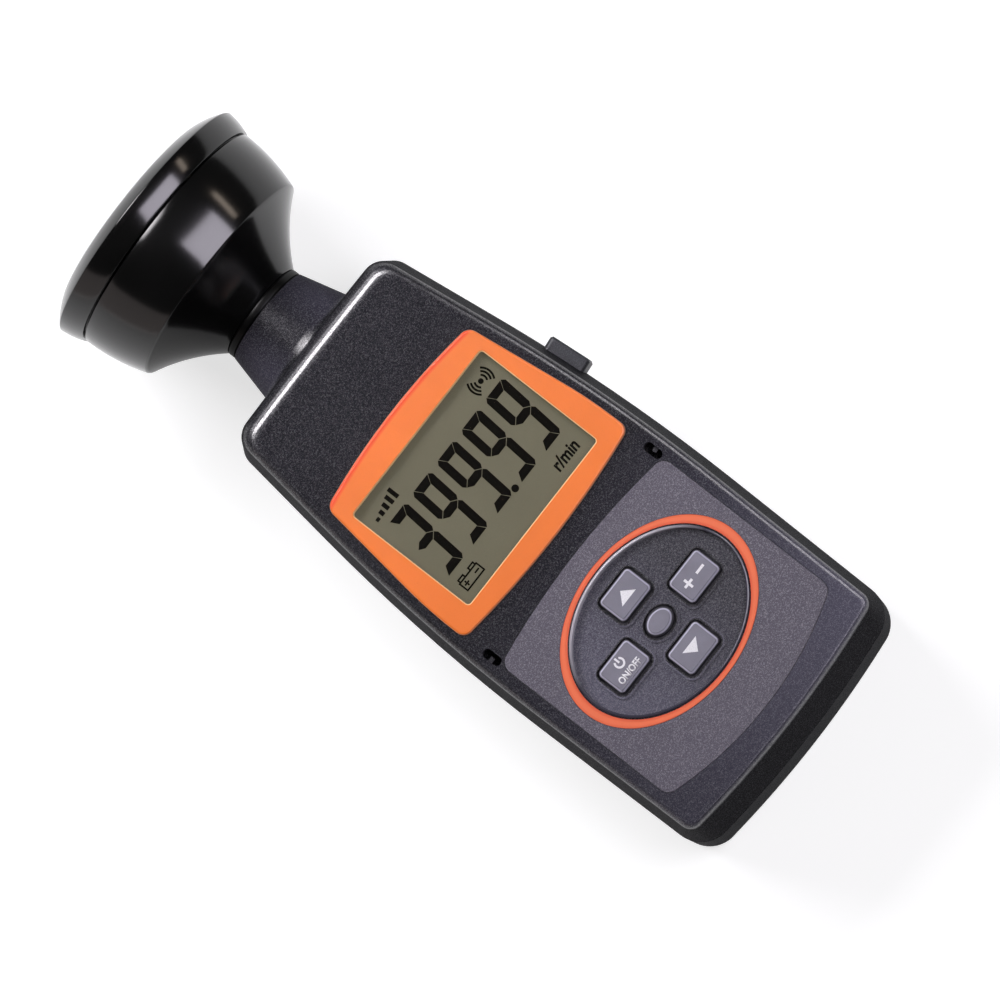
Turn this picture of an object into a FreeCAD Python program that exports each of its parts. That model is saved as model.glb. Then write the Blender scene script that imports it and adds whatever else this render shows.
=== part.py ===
import FreeCAD, Part
import math
import os

# Handheld xenon stroboscope: a tapered two-shell housing with a display, a keypad and a battery bay,
# and a flared lamp head on a conical neck. Lengths in millimetres.
# The origin lies on the flat back face, under the middle of the housing.
# +Z points out of the display, +Y towards the lamp, and +X to the right of someone who reads the display.

V = FreeCAD.Vector
ALONG_X = V(1, 0, 0)
ALONG_Y = V(0, 1, 0)
UP = V(0, 0, 1)

# One overrun for every cut that has to pass a face.
overrun = 2.0

# Housing: its plan narrows in a straight taper towards the lamp and is nearly parallel at the grip.
housing_length = 151.6
thickness = 37.0
shoulder_half_width = 29.5
waist_half_width = 37.85
butt_half_width = 37.0
waist_from_head = 64.5
waist_blend_reach = 34.7
head_bow_radius = 1200.0
butt_bow_radius = 272.0
head_corner_radius = 5.0
butt_corner_radius = 8.3
wall = 2.2
ceiling_thickness = 2.6
side_draft = 2.2
head_draft = 0.15
butt_draft = 3.2
rear_draft = 0.65
side_edge_radius = 1.7
head_edge_radius = 4.9
butt_edge_radius = 0.9
head_rounding_steps = 3
side_rounding_steps = 5
head_top_corner_radius = 5.5
butt_top_corner_radius = 2.6
rear_edge_radius = 2.2
parting_groove = 0.25
lip_height = 1.0
lip_thickness = 0.9
lip_clearance = 0.1

# Neck: a cone in two halves, one on each shell, bored for the lamp head's spigot.
neck_length = 13.35
neck_base_radius = 16.1
neck_end_radius = 12.75
neck_root_depth = 5.0
neck_fillet_radius = 1.2
neck_bore_radius = 8.5
neck_mouth_depth = 2.6
flange_groove_clearance = 0.1

# Lamp head: collar, flared bell, front ring, lens.
collar_length = 2.3
collar_radius = 12.6
collar_bevel = 0.3
collar_groove_width = 0.4
collar_groove_depth = 0.5
spigot_radius = 8.4
spigot_length = 9.4
spigot_flange_radius = 10.4
spigot_flange_thickness = 2.0
spigot_flange_from_collar = 7.0
lamp_bore_radius = 6.5
flare_length = 12.6
flare_end_radius = 28.2
flare_start_radius = 12.6
flare_sag = 1.0
band_length = 16.2
band_end_radius = 31.0
band_crown = 0.7
bell_wall = 2.0
bell_floor_radius = 10.6
ring_gap = 0.5
thread_radius = 29.5
thread_length = 3.6
thread_clearance = 0.1
bell_mouth_radius = 27.6
ring_length = 9.1
ring_back_radius = 31.35
ring_front_radius = 32.7
ring_face_radius = 27.5
ring_crown = 0.25
ring_nose = 3.2
ring_lip = 1.2
ring_window_radius = 26.3
ring_window_bevel = 0.6
lens_thickness = 2.0
seal_thickness = 0.8
seal_width = 2.2
rim_thickness = 0.8

# Reflector, socket and flash tube.
reflector_mouth_radius = 26.6
reflector_skin = 0.6
reflector_depth = 24.0
apex_hole_radius = 6.3
reflector_point_count = 7
socket_flange_radius = 9.6
socket_flange_thickness = 2.0
socket_tail_length = 7.5
socket_tail_radius = 6.3
socket_nose_radius = 6.0
socket_nose_length = 7.6
tube_radius = 1.9
tube_leg_spacing = 7.0
tube_leg_length = 12.0
cap_radius = 2.4
cap_length = 3.0
cap_clearance = 0.05
pin_hole_depth = 2.0

# Display: bezel, window, liquid crystal glass.
display_from_head = 52.9
window_side_margin = 9.15
window_height = 35.5
window_corner_radius = 0.9
bezel_top_from_head = 27.1
bezel_bottom_from_head = 76.8
bezel_top_side_margin = 5.66
bezel_side_margin = 5.97
bezel_waist_from_head = 63.5
bezel_waist_blend_reach = 7.6
bezel_top_bow_radius = 184.0
bezel_bottom_bow_radius = 239.0
bezel_top_corner_radius = 2.9
bezel_bottom_corner_radius = 2.5
bezel_recess = 1.2
bezel_stand = 0.7
bezel_edge_radius = 0.6
bezel_window_bevel = 0.3
seat_gap = 0.1
pane_margin = 2.3
pane_thickness = 1.0
glass_margin = 1.1
glass_thickness = 2.6
glass_gap = 0.1
opening_margin = 1.4
holder_rim = 2.2
holder_lip = 1.4
holder_lip_thickness = 1.0
strip_width = 1.8
strip_inset = 2.2

# Keypad: panel, ring, well, keys.
panel_top_from_head = 83.1
panel_bottom_from_head = 142.0
panel_side_margin = 6.27
panel_top_bow_radius = 202.0
panel_bottom_bow_radius = 92.0
panel_corner_radius = 3.0
panel_depth = 0.5
panel_gap = 0.25
keypad_from_head = 109.2
ring_side_margin = 3.3
ring_half_height = 20.75
ring_side_width = 2.5
well_half_height = 19.5
well_depth = 1.4
well_slope = 0.7
trim_stand = 0.1
trim_gap = 0.1
key_spacing_x = 13.6
key_spacing_y = 10.4
key_length = 11.1
key_height = 8.0
key_corner_radius = 1.2
key_bevel = 0.7
centre_key_length = 7.9
centre_key_height = 5.9
centre_key_bevel = 0.9
key_gap = 0.6
key_stand = 0.4
key_travel = 0.7
key_flange = 1.1
key_flange_thickness = 1.0
key_rest_gap = 0.05
pill_radius = 2.4
pill_clearance = 0.1
hole_rim_width = 0.8
hole_rim_height = 0.4
mat_thickness = 1.2
mat_half_width = 27.0
mat_half_height = 21.6
mat_corner_radius = 3.0
dome_height = 0.9
dome_wall = 0.8
dome_gap = 0.9

# Snap slots beside the keypad panel.
slot_from_head = 82.7
slot_side_margin = 6.47
slot_width = 2.4
slot_length = 5.1
slot_depth = 4.6
slot_wall = 1.0
hook_length = 1.1
hook_reach = 1.3
hook_depth = 1.6

# Side button and its switch.
button_from_head = 49.6
button_length = 11.3
button_height = 7.0
button_stand = 3.0
button_corner_radius = 1.2
button_bevel = 0.5
button_gap = 0.25
button_travel = 1.0
button_flange = 0.9
button_flange_thickness = 1.0
button_flange_gap = 1.0
plunger_radius = 1.2
plunger_clearance = 0.05
plunger_depth = 2.6
switch_gap = 1.1
switch_depth = 5.8
switch_width = 12.8
switch_below_axis = 4.5

# Circuit boards and what is on them.
board_thickness = 1.6
board_side_margin = 5.06
board_head_margin = 22.9
board_butt_margin = 9.2
board_corner_radius = 2.0
board_boss_radius = 2.5
board_boss_side_inset = 2.8
board_boss_inset = 3.6
board_screw_radius = 1.0
board_screw_head_radius = 2.0
board_screw_head_height = 1.4
board_screw_bite = 3.0
screw_clearance = 0.05
power_board_half_width = 24.0
power_board_from_head = 17.5
power_board_length = 64.0
power_board_height = 5.0
power_post_inset = 4.0
power_post_radius = 2.6
power_screw_bite = 4.0
capacitor_radius = 7.0
capacitor_length = 33.0
capacitor_from_centre = 14.0
capacitor_edge_radius = 0.8
capacitor_from_end = 24.0
core_length = 19.0
core_width = 16.0
core_height = 5.0
bobbin_radius = 6.2
bobbin_height = 12.0
transformer_from_centre = 12.0
transformer_from_end = 16.0
coil_radius = 4.2
coil_flange_radius = 5.2
coil_length = 15.0
coil_flange_thickness = 1.2
coil_from_centre = 13.0
coil_from_end = 50.0
lead_block_width = 11.0
lead_block_depth = 5.0
lead_block_height = 4.4
lead_block_from_end = 61.0
lead_radius = 0.75
lead_spacing = 3.0
lead_bend_radius = 6.0

# Batteries, bay and door.
cell_radius = 7.1
cell_body_length = 49.3
cell_nub_radius = 2.7
cell_nub_length = 1.2
cell_edge_radius = 0.5
cell_count = 4
cell_pitch = 14.7
cell_floor_gap = 0.2
bay_side_gap = 0.35
bay_head_wall = 1.5
bay_side_wall = 1.2
bay_roof = 1.5
bay_roof_gap = 0.3
contact_plate = 0.5
contact_width = 9.0
contact_height = 10.0
leaf_width = 5.0
leaf_height = 8.0
leaf_rise = 1.55
door_thickness = 2.2
door_half_width = 31.0
door_tongue = 1.1
door_tongue_thickness = 1.1
door_gap = 0.2
door_head_overlap = 1.4
grip_rib_count = 6
grip_rib_pitch = 1.8
grip_rib_width = 0.8
grip_rib_depth = 0.5
grip_half_width = 10.0
grip_from_butt = 9.0

# Case screws.
case_screw_head_from_head = 11.0
case_screw_head_x = 23.6
case_screw_butt_from_head = 88.9
case_screw_side_margin = 6.61
case_screw_radius = 1.4
case_screw_head_radius = 2.7
case_screw_head_height = 2.0
case_screw_bite = 11.0
case_boss_radius = 3.0
case_post_radius = 4.2
boss_clearance = 0.3
counterbore_radius = 3.0
counterbore_depth = 11.5
cross_width = 0.6
cross_depth = 0.9

# Shares: plain ratios, with no length in them.
cross_reach_share = 0.65
inner_step_share = 0.6
dome_height_share = 0.9
corner_reach_share = 1.3
round_end_share = 0.999
near_share = 1e-4

# Heights and places that follow from the sizes above.
taper_slope = (waist_half_width - shoulder_half_width) / waist_from_head
grip_slope = (waist_half_width - butt_half_width) / (housing_length - waist_from_head)


def side_at(from_head):
    """Half width of the housing's plan at a distance from its lamp end, before the waist is rounded."""
    if from_head < waist_from_head:
        return shoulder_half_width + taper_slope * from_head
    return waist_half_width - grip_slope * (from_head - waist_from_head)


axis_height = thickness / 2
head_y = housing_length / 2
butt_y = -housing_length / 2
ceiling = thickness - ceiling_thickness
bezel_floor = thickness - bezel_recess
panel_floor = thickness - panel_depth
well_floor = thickness - well_depth
display_y = head_y - display_from_head
window_width = (side_at(display_from_head - window_height / 2) - window_side_margin) * 2
bezel_top_half_width = side_at(bezel_top_from_head) - bezel_top_side_margin
bezel_waist_half_width = side_at(bezel_waist_from_head) - bezel_side_margin
bezel_bottom_half_width = side_at(bezel_bottom_from_head) - bezel_side_margin
panel_half_width = side_at(panel_top_from_head) - panel_side_margin
ring_half_width = panel_half_width - ring_side_margin
well_half_width = ring_half_width - ring_side_width
slot_from_centre = side_at(slot_from_head) - slot_side_margin
board_half_width = side_at(board_head_margin) - board_side_margin
board_boss_x = board_half_width - board_boss_side_inset
case_screw_butt_x = side_at(case_screw_butt_from_head) - case_screw_side_margin
keypad_y = head_y - keypad_from_head
slot_y = head_y - slot_from_head
button_y = head_y - button_from_head
glass_top = bezel_floor - glass_gap
glass_bottom = glass_top - glass_thickness
key_top = thickness + key_stand
flange_top = ceiling - key_rest_gap
flange_bottom = flange_top - key_flange_thickness
board_top = flange_bottom - key_travel - dome_height - mat_thickness
board_bottom = board_top - board_thickness
pill_bottom = board_top + key_travel + pill_clearance
board_head_y = head_y - board_head_margin
board_butt_y = butt_y + board_butt_margin
power_top = power_board_height + board_thickness
power_head_y = head_y - power_board_from_head
power_butt_y = power_head_y - power_board_length
neck_end = head_y + neck_length
collar_end = neck_end + collar_length
flare_end = collar_end + flare_length
band_end = flare_end + band_length
thread_end = band_end + thread_length
rim_front = thread_end + rim_thickness
seal_front = rim_front + seal_thickness
lens_front = seal_front + lens_thickness
ring_back = band_end + ring_gap
ring_front = ring_back + ring_length
bell_floor = collar_end + bell_wall
socket_front = bell_floor + socket_flange_thickness + socket_nose_length
leg_end = socket_front + tube_leg_length
bay_half_width = (cell_count - 1) * cell_pitch / 2 + cell_radius + bay_side_gap
cell_axis_height = door_thickness + door_gap + cell_floor_gap + cell_radius
bay_top = cell_axis_height + cell_radius + bay_roof_gap
bay_butt_y = butt_y + wall + rear_draft
bay_length = contact_plate * 2 + leaf_rise + cell_body_length + cell_nub_length
bay_head_y = bay_butt_y + bay_length
door_head_y = bay_head_y + door_head_overlap
case_screws = [
    (case_screw_head_x, head_y - case_screw_head_from_head),
    (case_screw_butt_x, head_y - case_screw_butt_from_head),
]


def box_between(x_range, y_range, z_range):
    """A block between two places on each axis."""
    size_x = x_range[1] - x_range[0]
    size_y = y_range[1] - y_range[0]
    size_z = z_range[1] - z_range[0]
    return Part.makeBox(size_x, size_y, size_z, V(x_range[0], y_range[0], z_range[0]))


def post(x, y, radius, z_range):
    """An upright cylinder."""
    return Part.makeCylinder(radius, z_range[1] - z_range[0], V(x, y, z_range[0]), UP)


def rod(x, z, radius, y_range):
    """A cylinder that lies along Y."""
    return Part.makeCylinder(radius, y_range[1] - y_range[0], V(x, y_range[0], z), ALONG_Y)


def rounded_wire(corners, height):
    """A closed outline at a height: straight runs joined by tangent arcs, one (x, y, radius) per corner."""
    points = [V(x, y, height) for x, y, radius in corners]
    count = len(points)
    starts = []
    middles = []
    ends = []
    for index, here in enumerate(points):
        to_last = (points[index - 1] - here).normalize()
        to_next = (points[(index + 1) % count] - here).normalize()
        half_angle = to_last.getAngle(to_next) / 2
        radius = corners[index][2]
        reach = radius / math.tan(half_angle)
        inward = (to_last + to_next).normalize()
        starts.append(here + to_last * reach)
        middles.append(here + inward * (radius / math.sin(half_angle) - radius))
        ends.append(here + to_next * reach)
    edges = []
    for index in range(count):
        edges.append(Part.Arc(starts[index], middles[index], ends[index]).toShape())
        edges.append(Part.LineSegment(ends[index], starts[(index + 1) % count]).toShape())
    return Part.Wire(edges)


def bow(extreme_y, half_width, corner_radius, bow_radius, sign):
    """Where the two tangents of a bowed end meet, and where each meets the side."""
    angle = math.asin((half_width - corner_radius * corner_reach_share) / bow_radius)
    apex_y = extreme_y + sign * bow_radius * (1 / math.cos(angle) - 1)
    corner_y = apex_y - sign * half_width * math.tan(angle)
    return apex_y, corner_y


def waisted_corners(top, bottom, waist):
    """Corners of a mirror-symmetric outline with bowed ends and a slight corner in each side."""
    top_y, top_half, top_corner, top_bow = top
    bottom_y, bottom_half, bottom_corner, bottom_bow = bottom
    top_apex, top_side = bow(top_y, top_half, top_corner, top_bow, 1)
    bottom_apex, bottom_side = bow(bottom_y, bottom_half, bottom_corner, bottom_bow, -1)
    right = [(top_half, top_side, top_corner)]
    if waist:
        waist_half, waist_y, reach = waist
        lean_in = math.atan((waist_half - top_half) / (top_side - waist_y))
        lean_out = math.atan((waist_half - bottom_half) / (waist_y - bottom_side))
        right.append((waist_half, waist_y, reach / math.tan(abs(lean_in + lean_out) / 2)))
    right.append((bottom_half, bottom_side, bottom_corner))
    left = [(-x, y, radius) for x, y, radius in reversed(right)]
    return right + [(0, bottom_apex, bottom_bow)] + left + [(0, top_apex, top_bow)]


def housing_wire(height, insets, corner_radii):
    """The housing's outline at a height, drawn in at the sides, the lamp end and the butt."""
    side_inset, head_inset, butt_inset = insets
    head_corner, butt_corner = corner_radii
    top = (head_y - head_inset, shoulder_half_width - side_inset, head_corner, head_bow_radius)
    bottom = (butt_y + butt_inset, butt_half_width - side_inset, butt_corner, butt_bow_radius)
    waist = (waist_half_width - side_inset, head_y - waist_from_head, waist_blend_reach)
    return rounded_wire(waisted_corners(top, bottom, waist), height)


def even_housing_wire(height, inset):
    """The housing's outline drawn in by the same amount all round."""
    corners = (head_corner_radius - inset, butt_corner_radius - inset)
    return housing_wire(height, (inset, inset, inset), corners)


def rounding_inset(height, radius):
    """How far an edge of a radius along the top draws the outline in at a height."""
    rise = max(height - (thickness - radius), 0)
    return radius - math.sqrt(max(radius ** 2 - rise ** 2, 0))


def front_wire(height, inset):
    """The front shell's outline at a height, with its draft and its rounded edges, drawn in by a wall."""
    rise = (height - axis_height) / axis_height
    side_inset = side_draft * rise + rounding_inset(height, side_edge_radius) + inset
    head_inset = head_draft * rise + rounding_inset(height, head_edge_radius) + inset
    butt_round = rounding_inset(height, butt_edge_radius)
    butt_inset = butt_draft * rise + butt_round + inset
    head_corner = head_corner_radius + (head_top_corner_radius - head_corner_radius) * rise
    head_corner -= rounding_inset(height, side_edge_radius)
    butt_corner = butt_corner_radius + (butt_top_corner_radius - butt_corner_radius) * rise - butt_round
    insets = (side_inset, head_inset, butt_inset)
    return housing_wire(height, insets, (head_corner - inset, butt_corner - inset))


def front_levels():
    """Heights of the outlines that the front shell is lofted through, close together where it rounds over."""
    head_start = thickness - head_edge_radius
    side_start = thickness - side_edge_radius
    levels = [axis_height + parting_groove]
    for step in range(head_rounding_steps):
        levels.append(head_start + (side_start - head_start) * step / head_rounding_steps)
    for step in range(side_rounding_steps + 1):
        angle = math.pi / 2 * step / side_rounding_steps
        levels.append(side_start + side_edge_radius * math.sin(angle))
    return levels


def rear_wire(height, inset):
    """The rear shell's drafted outline at a height, drawn in by a wall."""
    return even_housing_wire(height, rear_draft * (1 - height / axis_height) + inset)


def prism(wire, height):
    """A solid of one outline, pulled straight up."""
    return Part.Face(wire).extrude(UP * height)


def ring_between(outer, inner, height):
    """A flat band between two outlines, pulled straight up."""
    return prism(outer, height).cut(prism(inner, height))


def rounded_rectangle(x, y, length, width, radius, height):
    """A centred rectangle with round corners."""
    corners = [
        (x + length / 2, y + width / 2, radius),
        (x + length / 2, y - width / 2, radius),
        (x - length / 2, y - width / 2, radius),
        (x - length / 2, y + width / 2, radius),
    ]
    return rounded_wire(corners, height)


def ellipse_wire(x, y, half_length, half_width, height):
    """An upright oval outline."""
    curve = Part.Ellipse(V(x, y, height), half_length, half_width)
    return Part.Wire([curve.toShape()])


def lies_at(edge, height):
    """Whether an edge lies wholly at one height."""
    near = overrun * near_share
    return abs(edge.BoundBox.ZMin - height) < near and abs(edge.BoundBox.ZMax - height) < near


def edges_at(shape, height):
    """The edges of a shape that lie wholly at one height."""
    return [edge for edge in shape.Edges if lies_at(edge, height)]


def turned(steps):
    """A solid turned about the lamp axis. A step is a (radius, y) point, or an arc's middle and end."""
    def place(step):
        return V(step[0], step[1], axis_height)

    here = place(steps[0])
    edges = []
    for step in steps[1:] + [steps[0]]:
        if isinstance(step[0], tuple):
            goal = place(step[1])
            edges.append(Part.Arc(here, place(step[0]), goal).toShape())
        else:
            goal = place(step)
            edges.append(Part.LineSegment(here, goal).toShape())
        here = goal
    face = Part.Face(Part.Wire(edges))
    return face.revolve(V(0, 0, axis_height), ALONG_Y, 360)


def bulged(start, end, sag):
    """The middle point of an arc between two (radius, y) points that sags from its chord."""
    run_r = end[0] - start[0]
    run_y = end[1] - start[1]
    chord = math.hypot(run_r, run_y)
    return (
        (start[0] + end[0]) / 2 - sag * run_y / chord,
        (start[1] + end[1]) / 2 + sag * run_r / chord,
    )


def mirrored(shape):
    """The shape and its twin on the other side of the housing."""
    return [shape, shape.mirror(V(0, 0, 0), ALONG_X)]


def fused(shapes):
    """All shapes in one."""
    return shapes[0].multiFuse(shapes[1:]) if len(shapes) > 1 else shapes[0]


def neck_cone():
    """The neck's full cone, before it is split between the shells."""
    slope = (neck_base_radius - neck_end_radius) / neck_length
    root_y = head_y - neck_root_depth
    root_radius = neck_base_radius + slope * neck_root_depth
    return turned([(0, root_y), (root_radius, root_y), (neck_end_radius, neck_end), (0, neck_end)])


def neck_bore():
    """The neck's bore, with the groove that traps the spigot's flange."""
    flange_back = collar_end - spigot_flange_from_collar - spigot_flange_thickness
    groove_back = flange_back - flange_groove_clearance
    groove_front = flange_back + spigot_flange_thickness + flange_groove_clearance
    groove_radius = spigot_flange_radius + flange_groove_clearance
    root_y = head_y - neck_root_depth - overrun
    return turned([
        (0, root_y),
        (neck_bore_radius, root_y),
        (neck_bore_radius, groove_back),
        (groove_radius, groove_back),
        (groove_radius, groove_front),
        (neck_bore_radius, groove_front),
        (neck_bore_radius, neck_end + overrun),
        (0, neck_end + overrun),
    ])


def neck_half(z_range):
    """The half of the neck that belongs to one shell."""
    side = neck_base_radius * 2
    half = box_between((-side, side), (head_y - neck_root_depth, neck_end + overrun), z_range)
    return neck_cone().common(half)


def with_rounded_neck_seam(shell):
    """Rounds the inner corner where the neck grows out of the housing's end wall."""
    seam = []
    reach = neck_base_radius + neck_fillet_radius
    for edge in shell.Edges:
        bounds = edge.BoundBox
        on_wall = bounds.YMin > head_y - head_edge_radius and bounds.YMax < head_y + overrun
        round_neck = bounds.XMax < reach and bounds.XMin > -reach
        height = max(axis_height - bounds.ZMin, bounds.ZMax - axis_height)
        if on_wall and round_neck and height > overrun:
            seam.append(edge)
    return shell.makeFillet(neck_fillet_radius, seam)


def front_blank():
    """The front shell's outside as a solid block with rounded edges."""
    wires = [even_housing_wire(axis_height, parting_groove)]
    wires += [front_wire(level, 0) for level in front_levels()]
    return Part.makeLoft(wires, True, True)


def bezel_corners(gap):
    """The bezel's outline, widened by a gap."""
    top = (
        head_y - bezel_top_from_head + gap,
        bezel_top_half_width + gap,
        bezel_top_corner_radius + gap,
        bezel_top_bow_radius,
    )
    bottom = (
        head_y - bezel_bottom_from_head - gap,
        bezel_bottom_half_width + gap,
        bezel_bottom_corner_radius + gap,
        bezel_bottom_bow_radius,
    )
    waist = (bezel_waist_half_width + gap, head_y - bezel_waist_from_head, bezel_waist_blend_reach)
    return waisted_corners(top, bottom, waist)


def panel_corners(gap):
    """The keypad panel's outline, widened by a gap."""
    top = (
        head_y - panel_top_from_head + gap,
        panel_half_width + gap,
        panel_corner_radius + gap,
        panel_top_bow_radius,
    )
    bottom = (
        head_y - panel_bottom_from_head - gap,
        panel_half_width + gap,
        panel_corner_radius + gap,
        panel_bottom_bow_radius,
    )
    return waisted_corners(top, bottom, None)


def key_places():
    """Centre of each rectangular key, by name."""
    return {
        "read_key": (-key_spacing_x, keypad_y),
        "fine_key": (key_spacing_x, keypad_y),
        "up_key": (0, keypad_y + key_spacing_y),
        "down_key": (0, keypad_y - key_spacing_y),
    }


def key_wire(x, y, growth, height):
    """A rectangular key's outline, grown all round."""
    return rounded_rectangle(
        x,
        y,
        key_length + growth * 2,
        key_height + growth * 2,
        key_corner_radius + growth,
        height,
    )


def centre_key_wire(growth, height):
    """The oval key's outline, grown all round."""
    return ellipse_wire(0, keypad_y, centre_key_length / 2 + growth, centre_key_height / 2 + growth, height)


def key_outlines(growth, height):
    """Outlines of all five keys at a height."""
    wires = [key_wire(x, y, growth, height) for x, y in key_places().values()]
    return wires + [centre_key_wire(growth, height)]


def waist_radius():
    """Radius of the arc at the waist, from how far it reaches along the sides."""
    turn = math.atan(taper_slope) + math.atan(grip_slope)
    return waist_blend_reach / math.tan(abs(turn) / 2)


def button_past_taper():
    """How far the side button lies past the point where the straight taper turns into the waist's arc."""
    return button_from_head - (waist_from_head - waist_blend_reach)


def button_wall_x():
    """Half width of the housing at the side button, from the taper's straight line less its rounding."""
    return side_at(button_from_head) - button_past_taper() ** 2 / (2 * waist_radius())


def button_frame(shape):
    """Turns a shape built square at the side button so that it stands square to the tapered wall."""
    turn = math.degrees(math.atan(taper_slope) - math.asin(button_past_taper() / waist_radius()))
    turned_shape = shape.copy()
    turned_shape.rotate(V(button_wall_x(), button_y, axis_height), UP, turn)
    return turned_shape


def button_block(growth, x_range):
    """A block with the side button's section, grown all round, between two distances from the middle."""
    half_length = button_length / 2 + growth
    half_height = button_height / 2 + growth
    block = box_between(
        x_range,
        (button_y - half_length, button_y + half_length),
        (axis_height - half_height, axis_height + half_height),
    )
    return block


def slot_outline(growth, height):
    """The right snap slot's outline."""
    radius = slot_width / 2 + growth
    return rounded_rectangle(
        slot_from_centre,
        slot_y,
        slot_width + growth * 2,
        slot_length + growth * 2,
        radius * round_end_share,
        height,
    )


def snap_slots():
    """The two slots that open in the front face."""
    return mirrored(prism(slot_outline(0, thickness - slot_depth), slot_depth + overrun))


def snap_slot_boxes():
    """The walls round the slots, under the ceiling."""
    floor = thickness - slot_depth - slot_wall
    return mirrored(prism(slot_outline(slot_wall, floor), ceiling - floor + slot_wall))


def snap_hooks():
    """The hook tooth that reaches into each slot from its outer side."""
    outer_x = slot_from_centre + slot_width / 2
    hook = box_between(
        (outer_x - hook_reach, outer_x + slot_wall / 2),
        (slot_y - hook_length / 2, slot_y + hook_length / 2),
        (thickness - slot_depth - slot_wall / 2, thickness - hook_depth),
    )
    return mirrored(hook)


def case_boss_parts():
    """Screw bosses under the front shell's ceiling."""
    bosses = []
    for x, y in case_screws:
        bosses += mirrored(post(x, y, case_boss_radius, (axis_height, ceiling + wall / 2)))
    return bosses


def case_screw_holes():
    """Blind holes that the case screws bite in."""
    holes = []
    for x, y in case_screws:
        reach = axis_height + case_screw_bite + overrun
        holes += mirrored(post(x, y, case_screw_radius + screw_clearance, (axis_height - overrun, reach)))
    return holes


def board_screw_places():
    """Places of the main board's screws on the right side."""
    return [
        (board_boss_x, board_head_y - board_boss_inset),
        (board_boss_x, board_butt_y + board_boss_inset),
    ]


def board_bosses():
    """Screw bosses that the main board is drawn up against."""
    bosses = []
    for x, y in board_screw_places():
        bosses += mirrored(post(x, y, board_boss_radius, (board_top, ceiling + wall / 2)))
    return bosses


def board_screw_holes():
    """Blind holes in the board bosses."""
    holes = []
    for x, y in board_screw_places():
        reach = board_top + board_screw_bite + screw_clearance
        holes += mirrored(post(x, y, board_screw_radius + screw_clearance, (board_top - overrun, reach)))
    return holes


def key_hole_rims():
    """Low raised rims round the key holes on the well's floor."""
    return [prism(wire, hole_rim_height) for wire in key_outlines(key_gap + hole_rim_width, well_floor)]


def well():
    """The oval well that the keys stand in, its wall sloping in towards the floor."""
    mouth = ellipse_wire(0, keypad_y, well_half_width, well_half_height, thickness)
    floor = ellipse_wire(0, keypad_y, well_half_width - well_slope, well_half_height - well_slope, well_floor)
    return Part.makeLoft([floor, mouth], True, True)


def lip_ring(outer_inset, inner_inset, height):
    """A band along the parting line, between two insets from the outside, that stands above the line."""
    low = axis_height - overrun
    outer = even_housing_wire(low, outer_inset)
    inner = even_housing_wire(low, inner_inset)
    return ring_between(outer, inner, height + overrun)


def front_cover():
    """Front shell: drafted outside, neck half, display opening, keypad well, key holes, bosses."""
    cavity = Part.makeLoft([front_wire(axis_height, wall), front_wire(ceiling, wall)], True, True)
    inside = cavity.fuse(prism(front_wire(axis_height, wall), -overrun))
    solid = with_rounded_neck_seam(front_blank().fuse(neck_half((axis_height, thickness))))
    solid = solid.cut(inside)
    solid = solid.cut(neck_bore())
    solid = solid.fuse(fused(case_boss_parts() + board_bosses() + snap_slot_boxes()))
    recess = prism(rounded_wire(bezel_corners(seat_gap), bezel_floor), bezel_recess + overrun)
    opening = prism(
        rounded_rectangle(
            0,
            display_y,
            window_width + opening_margin * 2,
            window_height + opening_margin * 2,
            window_corner_radius + opening_margin,
            ceiling - overrun,
        ),
        ceiling_thickness + overrun * 2,
    )
    panel_seat = prism(rounded_wire(panel_corners(panel_gap), panel_floor), panel_depth + overrun)
    solid = solid.cut(fused([recess, opening, panel_seat] + snap_slots()))
    solid = solid.cut(well())
    solid = solid.fuse(fused(key_hole_rims() + snap_hooks()))
    holes = [prism(wire, ceiling_thickness + overrun) for wire in key_outlines(key_gap, ceiling - overrun)]
    notch = button_block(button_gap, (button_wall_x() - wall * 2, button_wall_x() + overrun))
    holes += case_screw_holes() + board_screw_holes()
    lip_outside = wall - lip_thickness - lip_clearance
    holes += [button_frame(notch), lip_ring(lip_outside, wall + lip_thickness, lip_height + lip_clearance)]
    return solid.cut(fused(holes)).removeSplitter()


def rear_blank():
    """The rear shell's outside as a solid block with rounded edges."""
    wires = [
        rear_wire(0, 0),
        even_housing_wire(axis_height - parting_groove, 0),
        even_housing_wire(axis_height, parting_groove),
    ]
    block = Part.makeLoft(wires, True, True)
    return block.makeFillet(rear_edge_radius, edges_at(block, 0))


def door_block(gap, past_end):
    """The battery door's section with its side tongues, grown by a gap, from the bay's head past the butt."""
    y_range = (butt_y - past_end, door_head_y + gap)
    plate = box_between(
        (-door_half_width - gap, door_half_width + gap),
        y_range,
        (-overrun, door_thickness + gap),
    )
    tongue_half = door_half_width + door_tongue + gap
    tongues = box_between(
        (-tongue_half, tongue_half),
        y_range,
        (door_thickness - door_tongue_thickness - gap, door_thickness + gap),
    )
    return plate.fuse(tongues)


def bay_block():
    """Walls and roof of the battery bay, solid."""
    half = bay_half_width + bay_side_wall
    return box_between(
        (-half, half),
        (butt_y + wall, bay_head_y + bay_head_wall),
        (door_thickness, bay_top + bay_roof),
    )


def bay_room():
    """The bay's hollow, open towards the door."""
    return box_between((-bay_half_width, bay_half_width), (bay_butt_y, bay_head_y), (-overrun, bay_top))


def case_posts():
    """Posts in the rear shell that the case screws pass through."""
    posts = []
    for x, y in case_screws:
        posts += mirrored(post(x, y, case_post_radius, (wall / 2, axis_height)))
    return posts


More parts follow.
